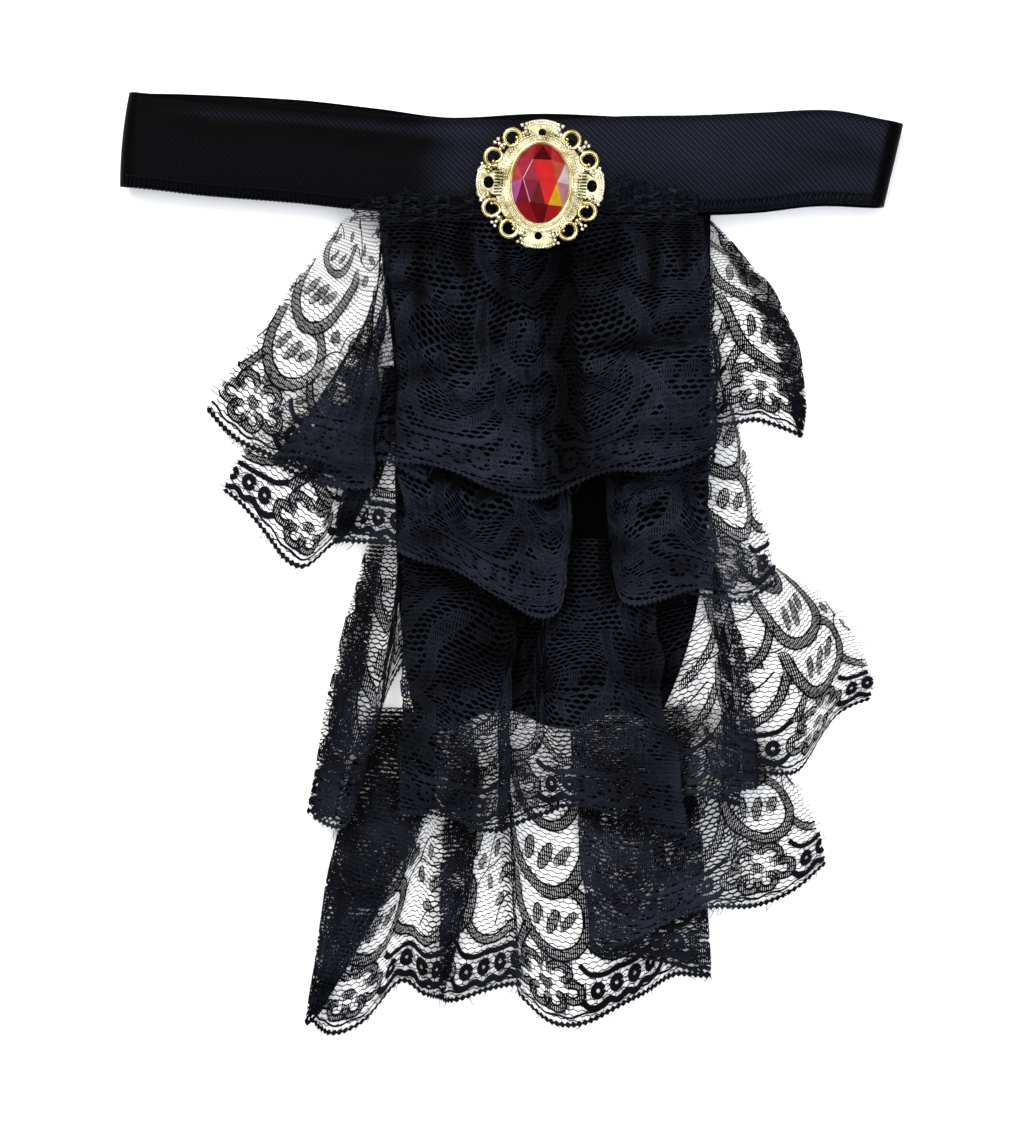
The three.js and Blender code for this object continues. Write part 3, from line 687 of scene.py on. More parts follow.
def leafOutline(x, y, length, width, turn, count=12):
    t = np.linspace(0, tau, count + 1)
    along, across = length / 2 * np.cos(t), width / 2 * np.sin(t)
    c, s = math.cos(math.radians(turn)), math.sin(math.radians(turn))
    return np.stack([x + along * c - across * s, y + along * s + across * c], axis=-1)


# Every cord of one repeat: path, width and share of the ridge's height
def motifCordsOfRepeat():
    step, cords = edging["cordStep"], []
    for path, width in denseBands:
        even = resample(path, step)
        cords += [(offsetPath(even, side * width / 2), 0.45, 1) for side in (-1, 1)]
    for x, y, long, wide, turn in leaves:
        cords.append((leafOutline(x, y, long, wide, turn), 0.26, 0.8))
    for path in vines:
        cords.append((resample(path, step), 0.42, 1))
    for path, width in thickCords:
        cords.append((resample(path, 0.7), width, 1.3))
    for x, y in rings:
        cords.append((arcPath(x, y, ringRadius, ringRadius, 0, 360, 13), ringWidth, 1))
        for k in range(spokes):
            turn = tau * (k + 0.5) / spokes
            ends = [(x + r * math.cos(turn), y + r * math.sin(turn)) for r in (1.8, 3)]
            cords.append((np.array(ends), 0.2, 0.5))
    return cords


def distanceToPath(points, path):
    best = np.full(len(points), 1e9)
    for a, b in zip(path, path[1:]):
        way = b - a
        t = np.clip(((points - a) @ way) / max(way @ way, 1e-9), 0, 1)
        best = np.minimum(best, np.hypot(*(points - a - t[:, None] * way).T))
    return best


# How the threads run at places on the flat edging: 0 open net, 1 dense clothwork
def weaveAt(x, y):
    kind = np.zeros(len(x), dtype=int)
    for shift in (-edging["repeat"], 0, edging["repeat"]):
        points = np.stack([x % edging["repeat"] + shift, y], axis=-1)
        for path, width in denseBands:
            kind[distanceToPath(points, path) < width / 2] = 1
        for lx, ly, length, width, turn in leaves:
            c, s = math.cos(math.radians(turn)), math.sin(math.radians(turn))
            dx, dy = points[:, 0] - lx, points[:, 1] - ly
            inside = ((dx * c + dy * s) / (length / 2)) ** 2 + ((dy * c - dx * s) / (width / 2)) ** 2
            kind[inside < 1] = 1
    return kind


# Unit steps to the left of a path, at each of its points
def sideways(path):
    way = np.gradient(path, axis=0)
    way /= np.maximum(np.hypot(*way.T), 1e-9)[:, None]
    return np.stack([-way[:, 1], way[:, 0]], axis=-1)


# Raised flat cords along paths on the flat edging, all cut from one long strip of grid.
# Each is a path, its width and the height of its ridge.
def addCords(shape, cords):
    total = sum(len(path) for path, _, _ in cords)
    made = bmesh.ops.create_grid(shape, x_segments=total - 1, y_segments=2, size=0.5)["verts"]
    begin, ends = 0, []
    for path, width, ridge in cords:
        n = len(path)
        side = sideways(path) * np.broadcast_to(np.asarray(width) / 2, n)[:, None]
        for row, (offset, lift) in enumerate(((-1, -0.04), (0, ridge), (1, -0.04))):
            for k, (x, y) in enumerate((path + offset * side).tolist()):
                made[row * total + begin + k].co = (x, y, lift)
        begin += n
        ends.append(total + begin - 1)
    joints = [face for k in ends[:-1] for face in set(made[k].link_faces) & set(made[k + 1].link_faces)]
    bmesh.ops.delete(shape, geom=joints, context="FACES")


def resample(path, step):
    path = np.asarray(path, dtype=float)
    run = np.concatenate([[0], np.cumsum(np.hypot(*np.diff(path, axis=0).T))])
    count = max(2, int(round(run[-1] / step)) + 1)
    at = np.linspace(0, run[-1], count)
    return np.stack([np.interp(at, run, path[:, 0]), np.interp(at, run, path[:, 1])], axis=-1)


# Leaves only the parts of a path that lie on the strip
def clipped(path, length, top):
    inside = (path[:, 0] > 0.2) & (path[:, 0] < length - 0.2) & (path[:, 1] < top)
    runs, run = [], []
    for point, keep in zip(path, inside):
        if keep:
            run.append(point)
        elif run:
            runs.append(np.array(run))
            run = []
    if run:
        runs.append(np.array(run))
    return [r for r in runs if len(r) > 1]


def offsetPath(path, amount):
    return path + amount * sideways(path)


motifCords = motifCordsOfRepeat()


# A flat strip of lace: net with clothwork, then its cords. phase shifts the repeat.
def weaveStrip(length, depth, phase, seed, patterned=True, doubled=None):
    shape = bmesh.new()
    draw = np.random.default_rng(int(seed))
    cw, ch = edging["cell"]
    below = 3 * ch
    columns, rows = int(length / cw), int((depth + below) / ch)
    bmesh.ops.create_grid(shape, x_segments=columns, y_segments=rows, size=0.5)
    index = {}
    for vert in shape.verts:
        i, j = round((vert.co.x + 0.5) * columns), round((vert.co.y + 0.5) * rows)
        swing = edging["zigzag"] if (i + j) % 2 == 0 else -edging["zigzag"]
        shake = draw.normal(0, 0.03, 2)
        vert.co = (i * cw + shake[0], j * ch - below + swing + shake[1], 0)
        index[vert] = (i, j)
    centres = np.array([((i + 0.5) * cw, (j + 0.5) * ch - below)
                        for i in range(columns) for j in range(rows)])
    kinds = weaveAt(centres[:, 0] + phase, centres[:, 1]) if patterned else np.zeros(len(centres), dtype=int)
    kinds = kinds.reshape(columns, rows)
    cuts = draw.uniform(0, edging["ragged"], (2, rows))
    gone = []
    for face in shape.faces:
        spots = [index[v] for v in face.verts]
        i, j = min(s[0] for s in spots), min(s[1] for s in spots)
        x, y = (i + 0.5) * cw, (j + 0.5) * ch - below
        if y < (hemLine(x + phase) if patterned else 0) or x < cuts[0, j] or x > length - cuts[1, j]:
            gone.append(face)
    loose = []
    for edge in shape.edges:
        (i, j), (k, m) = (index[v] for v in edge.verts)
        if i == k and 0 < i < columns and (i + min(j, m)) % 2 == 1:
            low = min(j, m)
            if kinds[i - 1, low] == 0 and kinds[i, low] == 0:
                loose.append(edge)
    bmesh.ops.delete(shape, geom=gone, context="FACES")
    bmesh.ops.dissolve_edges(shape, edges=[e for e in loose if e.is_valid and len(e.link_faces) == 2])

    def isDense(face):
        centre = face.calc_center_median()
        i, j = min(int(centre.x / cw), columns - 1), min(int((centre.y + below) / ch), rows - 1)
        return kinds[i, j] and len(face.verts) <= 4

    split = set()
    for face in shape.faces:
        if isDense(face):
            split.update(e for e in face.edges if abs(e.verts[0].co.x - e.verts[1].co.x) > cw / 2)
    bmesh.ops.subdivide_edges(shape, edges=list(split), cuts=1, use_grid_fill=True)
    net, dense = [], []
    for face in shape.faces:
        (dense if isDense(face) else net).append(face)
    closeness = doubled or (lambda x: 0)
    levels = [[], [], [], []]
    for face in net:
        levels[min(3, int(4 * closeness(face.calc_center_median().x)))].append(face)
    for level, faces in enumerate(levels):
        thread = edging["thread"] + (edging["doubled"] - edging["thread"]) * level / 3
        link = edging["link"] + 0.07 * level / 3
        bmesh.ops.inset_individual(shape, faces=faces, thickness=thread, use_even_offset=True)
        wider = (cw - link) / (cw - thread)
        for face in faces:
            middle = face.calc_center_median().x
            for vert in face.verts:
                vert.co.x = middle + (vert.co.x - middle) * wider
    bmesh.ops.inset_individual(shape, faces=dense, thickness=edging["clothwork"], use_even_offset=True)
    bmesh.ops.delete(shape, geom=net + dense, context="FACES")
    if patterned:
        addCords(shape, cordsOf(length, depth, phase, draw))
    return shape


# The cords of a strip: outlines, vines, rings, its edge, and loose thread ends past the hem and cuts
def cordsOf(length, depth, phase, draw):
    repeat, step, ridge = edging["repeat"], edging["cordStep"], edging["ridge"]
    cords = []
    for k in range(math.floor(phase / repeat) - 1, math.ceil((length + phase) / repeat) + 1):
        shift = np.array([k * repeat - phase, 0])
        for path, width, line in motifCords:
            cords += [(run, width, line * ridge) for run in clipped(path + shift, length, depth)]
    along = np.arange(0.3, length - 0.3, edging["picots"])
    hem = hemLine(along + phase)
    beads = np.where(np.arange(len(along)) % 2 == 0, 0.4, 1.6)
    cords.append((np.stack([along, hem - 0.1], axis=-1), beads, 0.4))
    cords.append((np.stack([along, hem + 1.7 + 0.3 * np.sin(along * tau / 7.2)], axis=-1), 0.5, 0.3))
    for _ in range(int(length / 6)):
        x, reach, bend = draw.uniform(1, length - 1), draw.uniform(0.8, 3.2), draw.uniform(-1.2, 1.2)
        base = hemLine(x + phase)
        path = linePath((x, base), (x + 0.5 * bend, base - 0.6 * reach), (x + 1.6 * bend, base - reach))
        cords.append((path, 0.14, 0.05))
    for y in np.arange(1, depth - 4, edging["cell"][1]):
        for edge, away in ((0.8, -1), (length - 0.8, 1)):
            if draw.uniform() < 0.45:
                reach, drift = draw.uniform(0.8, 2.6), draw.uniform(-0.5, 0.5)
                middle = (edge + away * 0.5 * reach, y + 0.3 * drift)
                cords.append((linePath((edge, y), middle, (edge + away * reach, y + drift)), 0.2, 0.05))
    return cords


# Tiers

seamPitch, layerPitch = 1.45, 1.9  # rise from layer to layer, at the seam and at the hem
middleShare = 0.47  # how far down the middle line of a tier lies
# where each tier is sewn on, how far it drops, how far its wings reach, and its pattern's start
tiers = {
    "bottom_ruffle": {"seam": 126, "drop": 82.7, "reach": 74, "phase": 26, "swirl": 1.2},
    "third_ruffle": {"seam": 82.5, "drop": 75.5, "reach": 86, "phase": 17, "swirl": 2.4},
    "second_ruffle": {"seam": 39, "drop": 61.5, "reach": 82, "phase": 30, "swirl": 3.6},
    "top_ruffle": {"seam": 0, "drop": 71, "reach": 86, "phase": 2, "swirl": 4},
}
# folds from the left raw edge to the right one: top, middle and hem across, as shares of the reach,
# the hem's drop, and how many layers up
folds = {
    "top_ruffle": [
        (-0.58, -0.79, -0.995, 0.69, 0), (-0.55, -0.66, -0.85, 0.83, 0), (-0.52, -0.56, -0.69, 0.96, 0),
        (-0.48, -0.5, -0.57, 0.985, 0.3), (-0.45, -0.54, -0.8, 0.88, 0.8), (-0.44, -0.47, -0.49, 0.96, 1.2),
        (-0.43, -0.5, -0.66, 0.95, 1), (-0.42, -0.42, -0.46, 0.9, 0.6), (-0.4, -0.34, -0.33, 0.94, 0.4),
        (-0.487, -0.44, -0.433, 0.885, 1.3), (-0.34, -0.31, -0.3, 0.93, 2.4),
        (-0.24, -0.19, -0.165, 0.98, 2), (-0.13, -0.075, -0.035, 1, 2.5),
        (0, 0.06, 0.07, 0.997, 0.5), (0.13, 0.15, 0.18, 0.957, 2.5), (0.3, 0.33, 0.34, 0.906, 2.5),
        (0.487, 0.52, 0.52, 0.848, 1.3), (0.42, 0.43, 0.42, 0.84, 0.4), (0.463, 0.54, 0.56, 0.75, 0),
        (0.478, 0.64, 0.66, 0.72, 0), (0.49, 0.75, 0.785, 0.81, 0), (0.487, 0.66, 0.77, 0.805, 0.4),
        (0.49, 0.735, 0.78, 0.805, 0.5), (0.487, 0.67, 0.772, 0.8, 0.6),
    ],
    "second_ruffle": [
        (-0.656, -0.87, -1, 0.53, 0), (-0.61, -0.75, -0.87, 0.675, 0), (-0.56, -0.61, -0.737, 0.81, 0),
        (-0.54, -0.6, -0.66, 0.75, 0.5), (-0.46, -0.47, -0.61, 0.72, 0.7), (-0.47, -0.57, -0.64, 0.7, 0.9),
        (-0.46, -0.48, -0.61, 0.71, 1.1), (-0.47, -0.58, -0.64, 0.7, 1.3), (-0.46, -0.47, -0.6, 0.73, 1.3),
        (-0.47, -0.5, -0.55, 0.75, 1),
        (-0.42, -0.36, -0.35, 0.78, 0.9), (-0.5, -0.447, -0.444, 0.733, 1.8),
        (-0.344, -0.312, -0.28, 0.846, 2.6),
        (-0.22, -0.17, -0.125, 0.97, 2.7), (-0.01, 0.066, 0.056, 0.996, 2), (0.03, 0.075, 0.078, 0.46, 1.2),
        (0.08, 0.135, 0.14, 0.4, 0.3), (0.125, 0.2, 0.2, 0.46, 1.2), (0.165, 0.21, 0.25, 0.94, 2),
        (0.28, 0.33, 0.36, 0.954, 2.7), (0.51, 0.54, 0.54, 0.937, 1.6), (0.4375, 0.45, 0.4375, 0.93, 0.7),
        (0.5, 0.54, 0.57, 0.937, 0), (0.54, 0.625, 0.64, 0.967, 0.2), (0.5625, 0.66, 0.75, 0.908, 0),
    ],
    "third_ruffle": [
        (-0.454, -0.53, -0.582, 0.93, 0), (-0.507, -0.615, -0.695, 0.95, 0.6),
        (-0.455, -0.52, -0.61, 0.97, 1.3),
        (-0.5, -0.6, -0.68, 0.955, 1), (-0.445, -0.5, -0.6, 0.965, 1),
        (-0.424, -0.466, -0.57, 0.955, 1.3), (-0.403, -0.412, -0.406, 0.41, 0.9),
        (-0.343, -0.328, -0.328, 0.9, 0.5),
        (-0.418, -0.412, -0.424, 0.915, 1.4), (-0.328, -0.313, -0.343, 0.94, 2.4),
        (-0.185, -0.21, -0.254, 0.973, 2.2),
        (-0.12, -0.12, -0.18, 0.997, 1.8), (-0.09, -0.08, -0.1, 0.973, 1.8),
        (-0.12, -0.12, -0.128, 0.973, 1.1),
        (-0.075, -0.054, -0.054, 0.95, 0.4), (0, 0, 0.024, 0.94, 0.8), (0.03, 0.036, 0.09, 0.925, 1.8),
        (0.18, 0.21, 0.254, 0.95, 2.4), (0.33, 0.367, 0.44, 0.98, 1.8), (0.27, 0.313, 0.343, 0.95, 1),
        (0.478, 0.513, 0.478, 0.864, 0.6), (0.485, 0.57, 0.6, 0.89, 0.2), (0.48, 0.53, 0.54, 0.86, 0.7),
        (0.49, 0.61, 0.65, 0.86, 1), (0.485, 0.57, 0.6, 0.83, 0.7), (0.5, 0.68, 0.72, 0.81, 0.3),
        (0.507, 0.746, 0.776, 0.78, 0.2),
        (0.52, 0.85, 0.89, 0.61, 0), (0.53, 0.89, 0.997, 0.566, 0),
    ],
    "bottom_ruffle": [
        (-0.24, -0.434, -0.78, 0.965, 1.5), (-0.6, -0.72, -0.81, 0.969, 1.3),
        (-0.3, -0.46, -0.76, 0.95, 1.1),
        (-0.57, -0.71, -0.8, 0.965, 0.8), (-0.43, -0.586, -0.731, 1, 0),
        (-0.38, -0.483, -0.614, 0.972, 0), (-0.328, -0.397, -0.483, 0.876, 0.2),
        (-0.293, -0.36, -0.397, 0.913, 0.9), (-0.24, -0.22, -0.33, 0.89, 0.9),
        (-0.29, -0.34, -0.35, 0.88, 1.3),
        (-0.24, -0.22, -0.3, 0.92, 0.2),
        (-0.13, -0.125, -0.095, 0.88, 0.9), (-0.1, -0.093, -0.066, 0.867, 1.6),
        (-0.12, -0.105, -0.08, 0.88, 0.9), (-0.086, -0.076, -0.034, 0.92, 0.2),
        (-0.034, 0.017, 0.052, 0.97, 0),
        (0.07, 0.138, 0.172, 0.985, 0.1), (0.207, 0.293, 0.345, 0.923, 0.1),
        (0.345, 0.43, 0.476, 0.82, 0.1),
        (0.517, 0.56, 0.597, 0.824, 0.8), (0.276, 0.33, 0.36, 0.8, 1.5), (0.086, 0.131, 0.172, 0.743, 2.2),
        (0.345, 0.38, 0.38, 0.7, 2.9), (0.53, 0.6, 0.62, 0.62, 1.9), (0.55, 0.71, 0.76, 0.6, 0.6),
        (0.57, 0.828, 0.897, 0.567, 0), (0.586, 0.886, 1, 0.505, 0),
    ],
}


# How one tier hangs: returns the strip's length and a function from flat places to where they lie
def drapeOf(name):
    size, table = tiers[name], np.array(folds[name])
    top, mid, hem, drop, layer = table.T
    seam, reach = size["seam"], size["reach"]
    start = max(seam, 2 * jabot["gap"])
    topLine = np.stack([top * reach, -start + 0 * top, layer * seamPitch], axis=-1)
    hemLineOf = np.stack([hem * reach, -seam - drop * size["drop"], layer * layerPitch], axis=-1)
    midLine = np.stack([mid * reach, -start - middleShare * drop * size["drop"],
                        layer * (seamPitch + layerPitch) / 2], axis=-1)
    share = np.linspace(0, 1, 2001)
    stepsAlong = [np.linalg.norm(np.diff(curveThrough(line, share), axis=0), axis=1)
                  for line in (hemLineOf, midLine)]
    run = np.concatenate([[0], np.cumsum(np.maximum(*stepsAlong))])

    def between(t, v):
        v = v[:, None]
        return (curveThrough(topLine, t) * (1 - v) * (1 - 2 * v) + curveThrough(midLine, t) * 4 * v * (1 - v)
                + curveThrough(hemLineOf, t) * v * (2 * v - 1))

    steps, falls = 200, 16
    coarse, downs = np.linspace(0, 1, steps + 1), np.linspace(0, 1, falls + 1)
    lines = np.stack([between(coarse, np.full(steps + 1, v)) for v in downs])
    lengths = np.linalg.norm(np.diff(lines, axis=0), axis=2).sum(axis=0)

    def below(p):
        under = support(p[:, 0], p[:, 1])
        held = hang(jabot["backingHang"] + jabot["laceWall"] + jabot["gap"], p[:, 1]) if seam == 0 else 0
        return np.maximum(under, held)

    # the small upright folds near the seam, which take up what the strip is longer than its place there
    kept = np.linalg.norm(np.diff(lines, axis=1), axis=2) / np.diff(np.interp(coarse, share, run))
    spare = np.sqrt(np.clip(1 - kept**2, 0, 1)) * edging["gatherPitch"] / tau
    spare = np.clip(spare, 0, edging["gather"])
    spare = np.stack([np.convolve(np.pad(row, 4, mode="edge"), np.ones(9) / 9, mode="valid")
                      for row in spare])

    def gathers(x, t, v):
        row, column = np.clip(v, 0, 1) * falls, t * (steps - 1)
        i, j = np.minimum(row.astype(int), falls - 1), np.minimum(column.astype(int), steps - 2)
        s, r = row - i, column - j
        tall = ((1 - s) * ((1 - r) * spare[i, j] + r * spare[i, j + 1])
                + s * ((1 - r) * spare[i + 1, j] + r * spare[i + 1, j + 1]))
        uneven = 0.9 * unevenness(x, 0 * x, 17, 7 + seam)
        return tall * (1 + np.cos(tau * (x / edging["gatherPitch"] + uneven)))

    def onCloth(x, up):
        t = np.interp(x, run, share)
        line = np.interp(t, coarse, lengths)
        depth = size["drop"]
        calm = np.minimum(edging["calm"], 0.6 * line)
        rise = up + (line - depth) * np.clip((up - calm) / (depth - calm), 0, 1) ** 1.3
        thick = smooth(curveThrough(hemLineOf, t)[:, 2] / layerPitch - 0.8)
        rise = rise - edging["sag"] * thick * np.sin(math.pi * np.clip(rise / line, 0, 1))
        v = np.clip(1 - rise / line, 0, 1.1)
        p = between(t, v)
        raised = smooth((p[:, 2] - 1.5) / 2)  # the folds in the middle are looser than the wings
        middle = 4 * np.clip(v * (1 - v), 0, 1)
        sway = size["swirl"] * middle * (0.25 + 0.75 * raised)
        p[:, 1] += sway * unevenness(x, up, 26, 21 + seam)
        p[:, 0] += 0.6 * sway * unevenness(x, up, 20, 43 + seam)
        p[:, 2] = np.maximum(0, p[:, 2]) + gathers(x, t, v) + jabot["laceWall"] / 2 + below(p)
        p[:, 2] += 0.3 * (1 + unevenness(x, up, 9, 60 + seam)) * (0.3 + 0.7 * raised)
        return p

    def place(flat):
        x, up = flat[:, 0], flat[:, 1]
        inside = np.clip(x, 0, run[-1])
        here = onCloth(inside, up)
        back, ahead = (onCloth(np.clip(inside + step, 0, run[-1]), up) for step in (-0.3, 0.3))
        higher, lower = (onCloth(inside, up + step) for step in (0.3, -0.3))
        acrossWay, upWay = ahead - back, higher - lower
        normal = np.cross(acrossWay, upWay)
        normal /= np.maximum(np.linalg.norm(normal, axis=1), 1e-9)[:, None]
        outward = acrossWay / np.maximum(np.linalg.norm(acrossWay, axis=1), 1e-9)[:, None]
        return here + normal * flat[:, 2:] + outward * (x - inside)[:, None]

    def sample():
        t, v = grid[:, 0], grid[:, 1]
        p = between(t, v)
        p[:, 2] = np.maximum(0, p[:, 2]) + edging["gather"] * (1 - v) + jabot["laceWall"] / 2 + below(p)
        return p

    # height of the folds above what they lie on, along the strip, in layers
    def layersAt(x):
        return curveThrough(hemLineOf, np.interp(np.atleast_1d(x), run, share))[:, 2] / layerPitch

    return run[-1], place, sample, layersAt


def flatArea(shape):
    return sum(face.calc_area() for face in shape.faces)


def makeTier(name):
    length, place, sample, layersAt = drapeOf(name)
    depth = tiers[name]["drop"]
    along = np.linspace(0, length, 400)
    closeness = smooth((layersAt(along) - 0.3) / 1.2)
    shape = weaveStrip(length, depth, tiers[name]["phase"], 100 + tiers[name]["phase"],
                       doubled=lambda x: float(np.interp(x, along, closeness)))
    area = flatArea(shape)
    triangles = sum(len(face.verts) - 2 for face in shape.faces)
    piece = makePiece(name.replace("_ruffle", "_tier_lace"), shape, lace, place)
    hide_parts(name)
    layOnPile(sample())
    cover = round(area / length / depth, 2)
    print(name, "strip", round(length), "mm, threads cover", cover, "triangles", triangles)
    return piece


# Painted shade in stripes below the ornament, where deep pleats would lie: place across, width, and how far
# down they run
paintedPleatShade = [
    (6.4, 5, -76), (-9, 2.4, -32), (-19, 2.2, -24), (19, 2.2, -24), (29, 2.4, -30), (-31, 2.6, -36),
    (37, 2, -22),
]
# how bright the painted light on each tier's crests is, from the bottom one up
tierPaintedLight = (1, 0.7, 1, 1)


# Painted light and shade on the lace: lighter on the crests and the higher folds, painted shade in the
# valleys, under other layers and in the pleat stripes, with random lighter and darker swirls
def paintCrestLightAndShade(pieces):
    level = spread(pile["heights"], np.mean)
    for seed, piece in enumerate(pieces):
        x, y, z = (pointsOf(piece.data) / mm - zero).T
        # painted shade where the lace lies under other layers, and more painted light on the higher folds
        paintedShadeUnderLayers = smooth((level[pileCell(y), pileCell(x)] - z - 0.2) / 2.6)
        raised = 0.3 + 0.7 * smooth((z - 1.5) / 4)
        # random swirls of painted light and shade
        waves = (0.5 + 0.3 * unevenness(x, 1.3 * y, 38, 60 + seed)
                 + 0.25 * unevenness(0.6 * x, 1.8 * y, 15, 80 + seed))
        lit = tierPaintedLight[seed] * (1 - paintedShadeUnderLayers) * raised * np.clip(0.15 + 1.25 * waves, 0, 1.3)
        # painted shade in the pleat stripes below the ornament
        for middle, width, lowest in paintedPleatShade:
            lit = lit * (1 - 0.92 * np.exp(-((x - middle) / width) ** 2) * smooth((y - lowest) / 12) * raised)
        keepValues(piece.data, "paintedLightShare", np.clip(lit, 0, 1))


under, tierPieces = ["backing_cloth"], []
for name in tiers:
    tierPieces.append(makeTier(name))
    under = [tierPieces[-1].name]
paintCrestLightAndShade(tierPieces)

# Heading: the gathered top edge of the lace, standing over the band's lower edge

heading = {
    "length": 89, "shift": -3.5, "height": 9, "tucked": 2.6,
    "fullness": 1.9,  # how much longer the strip is than the place it is gathered into
    "waves": 27, "wave": 1.1, "sway": 1.9, "pressed": 0.6,  # the ornament presses it flat
}
headingStations = [(0, 0.3), (0.2, 0.55), (0.35, 0.6), (0.5, 0.45), (0.68, 0.95), (0.8, 0.9), (1, 0.45)]


def makeHeading():
    length = heading["length"] * heading["fullness"]
    depth = heading["height"] + heading["tucked"]
    shape = weaveStrip(length, depth, 0, 77, patterned=False, doubled=lambda x: 0.99)
    area = flatArea(shape)

    def place(flat):
        u, v = np.clip(flat[:, 0] / length, 0, 1), flat[:, 1] / depth
        turn = tau * heading["waves"] * u + 1.6 * unevenness(u * 90, 0 * u, 17, 8)
        x = heading["shift"] + (u - 0.5) * heading["length"]
        x = x + heading["sway"] * np.sin(turn) * (0.5 + 0.5 * v)
        x = x + 0.5 * unevenness(flat[:, 0], flat[:, 1], 5, 31)
        tall = heading["height"] * alongTable(headingStations, 1, u)
        tall = tall * (1 + 0.3 * unevenness(u * 90, 0 * u, 7, 15))
        wave = (1 - np.cos(turn + 0.8)) / 2
        pressed = 1 - heading["pressed"] * np.exp(-((x / 16.3) ** 4))
        rise = heading["wave"] * wave * pressed * (0.3 + 0.8 * v)
        z = bandFront + band["crown"] + 0.9 + jabot["gap"] + rise
        y = -heading["tucked"] + v * (tall + heading["tucked"])
        y = y + 0.6 * unevenness(flat[:, 0], 2 * flat[:, 1], 4, 19) * v
        return np.stack([x, y, z + flat[:, 2]], axis=-1)

    piece = makePiece("gathered_lace_heading", shape, lace, place)

    # random patches of painted light on the heading
    def randomPaintedLightAt(flat):
        return np.clip(0.3 + 0.5 * unevenness(flat[:, 0], 2 * flat[:, 1], 6, 9), 0, 1)

    markMesh(piece, "paintedLightShare", randomPaintedLightAt)
    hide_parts("gathered_heading")


makeHeading()
print("lace made")

# Brooch

brooch = {
    "stoneWidth": 14.4, "stoneLength": 20, "stoneHeight": 4.2, "girdle": 1.2, "girdleSides": 36,
    "radius": 16.3, "plate": 1.3, "loopRadius": 2.65, "wire": 0.45,
    "bead": 0.55,
}
loopAngles = [28, 57, 123, 152, 208, 237, 303, 332]
ornamentTurn = Matrix.Rotation(math.radians(jabot["ornamentTurn"]), 4, "Z")
ornamentBase = settingLow.z / mm
onOrnament = Matrix.Translation((0, jabot["ornamentRise"], ornamentBase)) @ ornamentTurn


def ornamentPlace(flat):
    turn = np.array(onOrnament.to_3x3())
    return flat @ turn.T + np.array(onOrnament.translation)


def addBead(shape, x, y, z, radius, detail=2):
    at = Matrix.Translation((x, y, z))
    bmesh.ops.create_icosphere(shape, subdivisions=detail, radius=radius, matrix=at)


def polar(radius, degrees):
    return radius * math.cos(math.radians(degrees)), radius * math.sin(math.radians(degrees))


def makeBeading():
    shape = bmesh.new()
    plate = brooch["plate"]
    halfWidth, halfLength = brooch["stoneWidth"] / 2, brooch["stoneLength"] / 2
    # milgrain: four rows of grains round the bezel
    for outward, count, radius, height in ((1.4, 84, 0.3, plate + 0.82), (2.05, 90, 0.3, plate + 0.8),
                                           (2.75, 84, 0.36, plate + 0.15), (3.45, 84, 0.3, plate + 0.1)):
        for k in range(count):
            turn = tau * k / count
            x, y = (halfWidth + outward) * math.cos(turn), (halfLength + outward) * math.sin(turn)
            if math.hypot(x, y) < 13.6 and (abs(x) > 1.6 or abs(y) < 12.3):
                addBead(shape, x, y, height, radius, 1)
    # beaded edges of the end plates and side plates
    for middle, half in ((90, 12), (270, 12), (0, 11), (180, 11)):
        for k in range(-5, 6):
            x, y = polar(brooch["radius"] - 0.25 - 0.012 * k * k, middle + half * k / 5)
            addBead(shape, x, y, plate * 0.95, 0.42)
            x, y = polar(brooch["radius"] - 0.95 - 0.012 * k * k, middle + half * (k + 0.5) / 5.5)
            addBead(shape, x, y, plate * 1.05, 0.3)
    # clusters between the loops
    for degrees in (15, 42.5, 73, 107, 137.5, 165, 195, 222.5, 253, 287, 317.5, 345):
        for away, sideways in ((14.6, 0), (13.5, -3.4), (13.5, 3.4), (15.6, 2.2), (15.6, -2.2)):
            x, y = polar(away, degrees + sideways)
            addBead(shape, x, y, plate * 0.95, brooch["bead"])
    makePiece("brooch_beading", shape, gilt, ornamentPlace)


def makeWireLoops():
    shape = bmesh.new()
    centre = brooch["radius"] - brooch["loopRadius"]
    for degrees in loopAngles:
        x, y = polar(centre, degrees)
        mirrored = 1 if degrees % 90 < 45 else -1
        path = []
        for k in range(30):
            share = k / 29
            turn = math.radians(degrees + mirrored * (-150 + 395 * share))
            radius = 2.2 - 1.15 * max(0, share - 0.72) / 0.28
            height = brooch["plate"] * 0.9 + 0.25 * share
            path.append((x + radius * math.cos(turn), y + radius * math.sin(turn), height))
        addTube(shape, path, brooch["wire"], 8)
        addBead(shape, *path[-1], 0.5)
    # bezel wire
    halfWidth, halfLength = brooch["stoneWidth"] / 2 + 0.6, brooch["stoneLength"] / 2 + 0.6
    path = [(halfWidth * math.cos(tau * k / 72), halfLength * math.sin(tau * k / 72), brooch["plate"] + 1.7)
            for k in range(72)]
    addTube(shape, path, 0.3, 8, closed=True)
    makePiece("brooch_wires", shape, giltWire, ornamentPlace)


def makeRibs():
    shape = bmesh.new()
    for side in (-1, 1):
        for k in range(9):
            y = 0.8 * (k - 4)
            inner = 9.4 + 0.1 * abs(k - 4)
            path = [(side * inner, y, 1.45), (side * 10.6, y, 1.55), (side * 11.7, y * 1.02, 1.4)]
            addTube(shape, path, 0.27, 6)
    makePiece("brooch_ribs", shape, gilt, ornamentPlace)


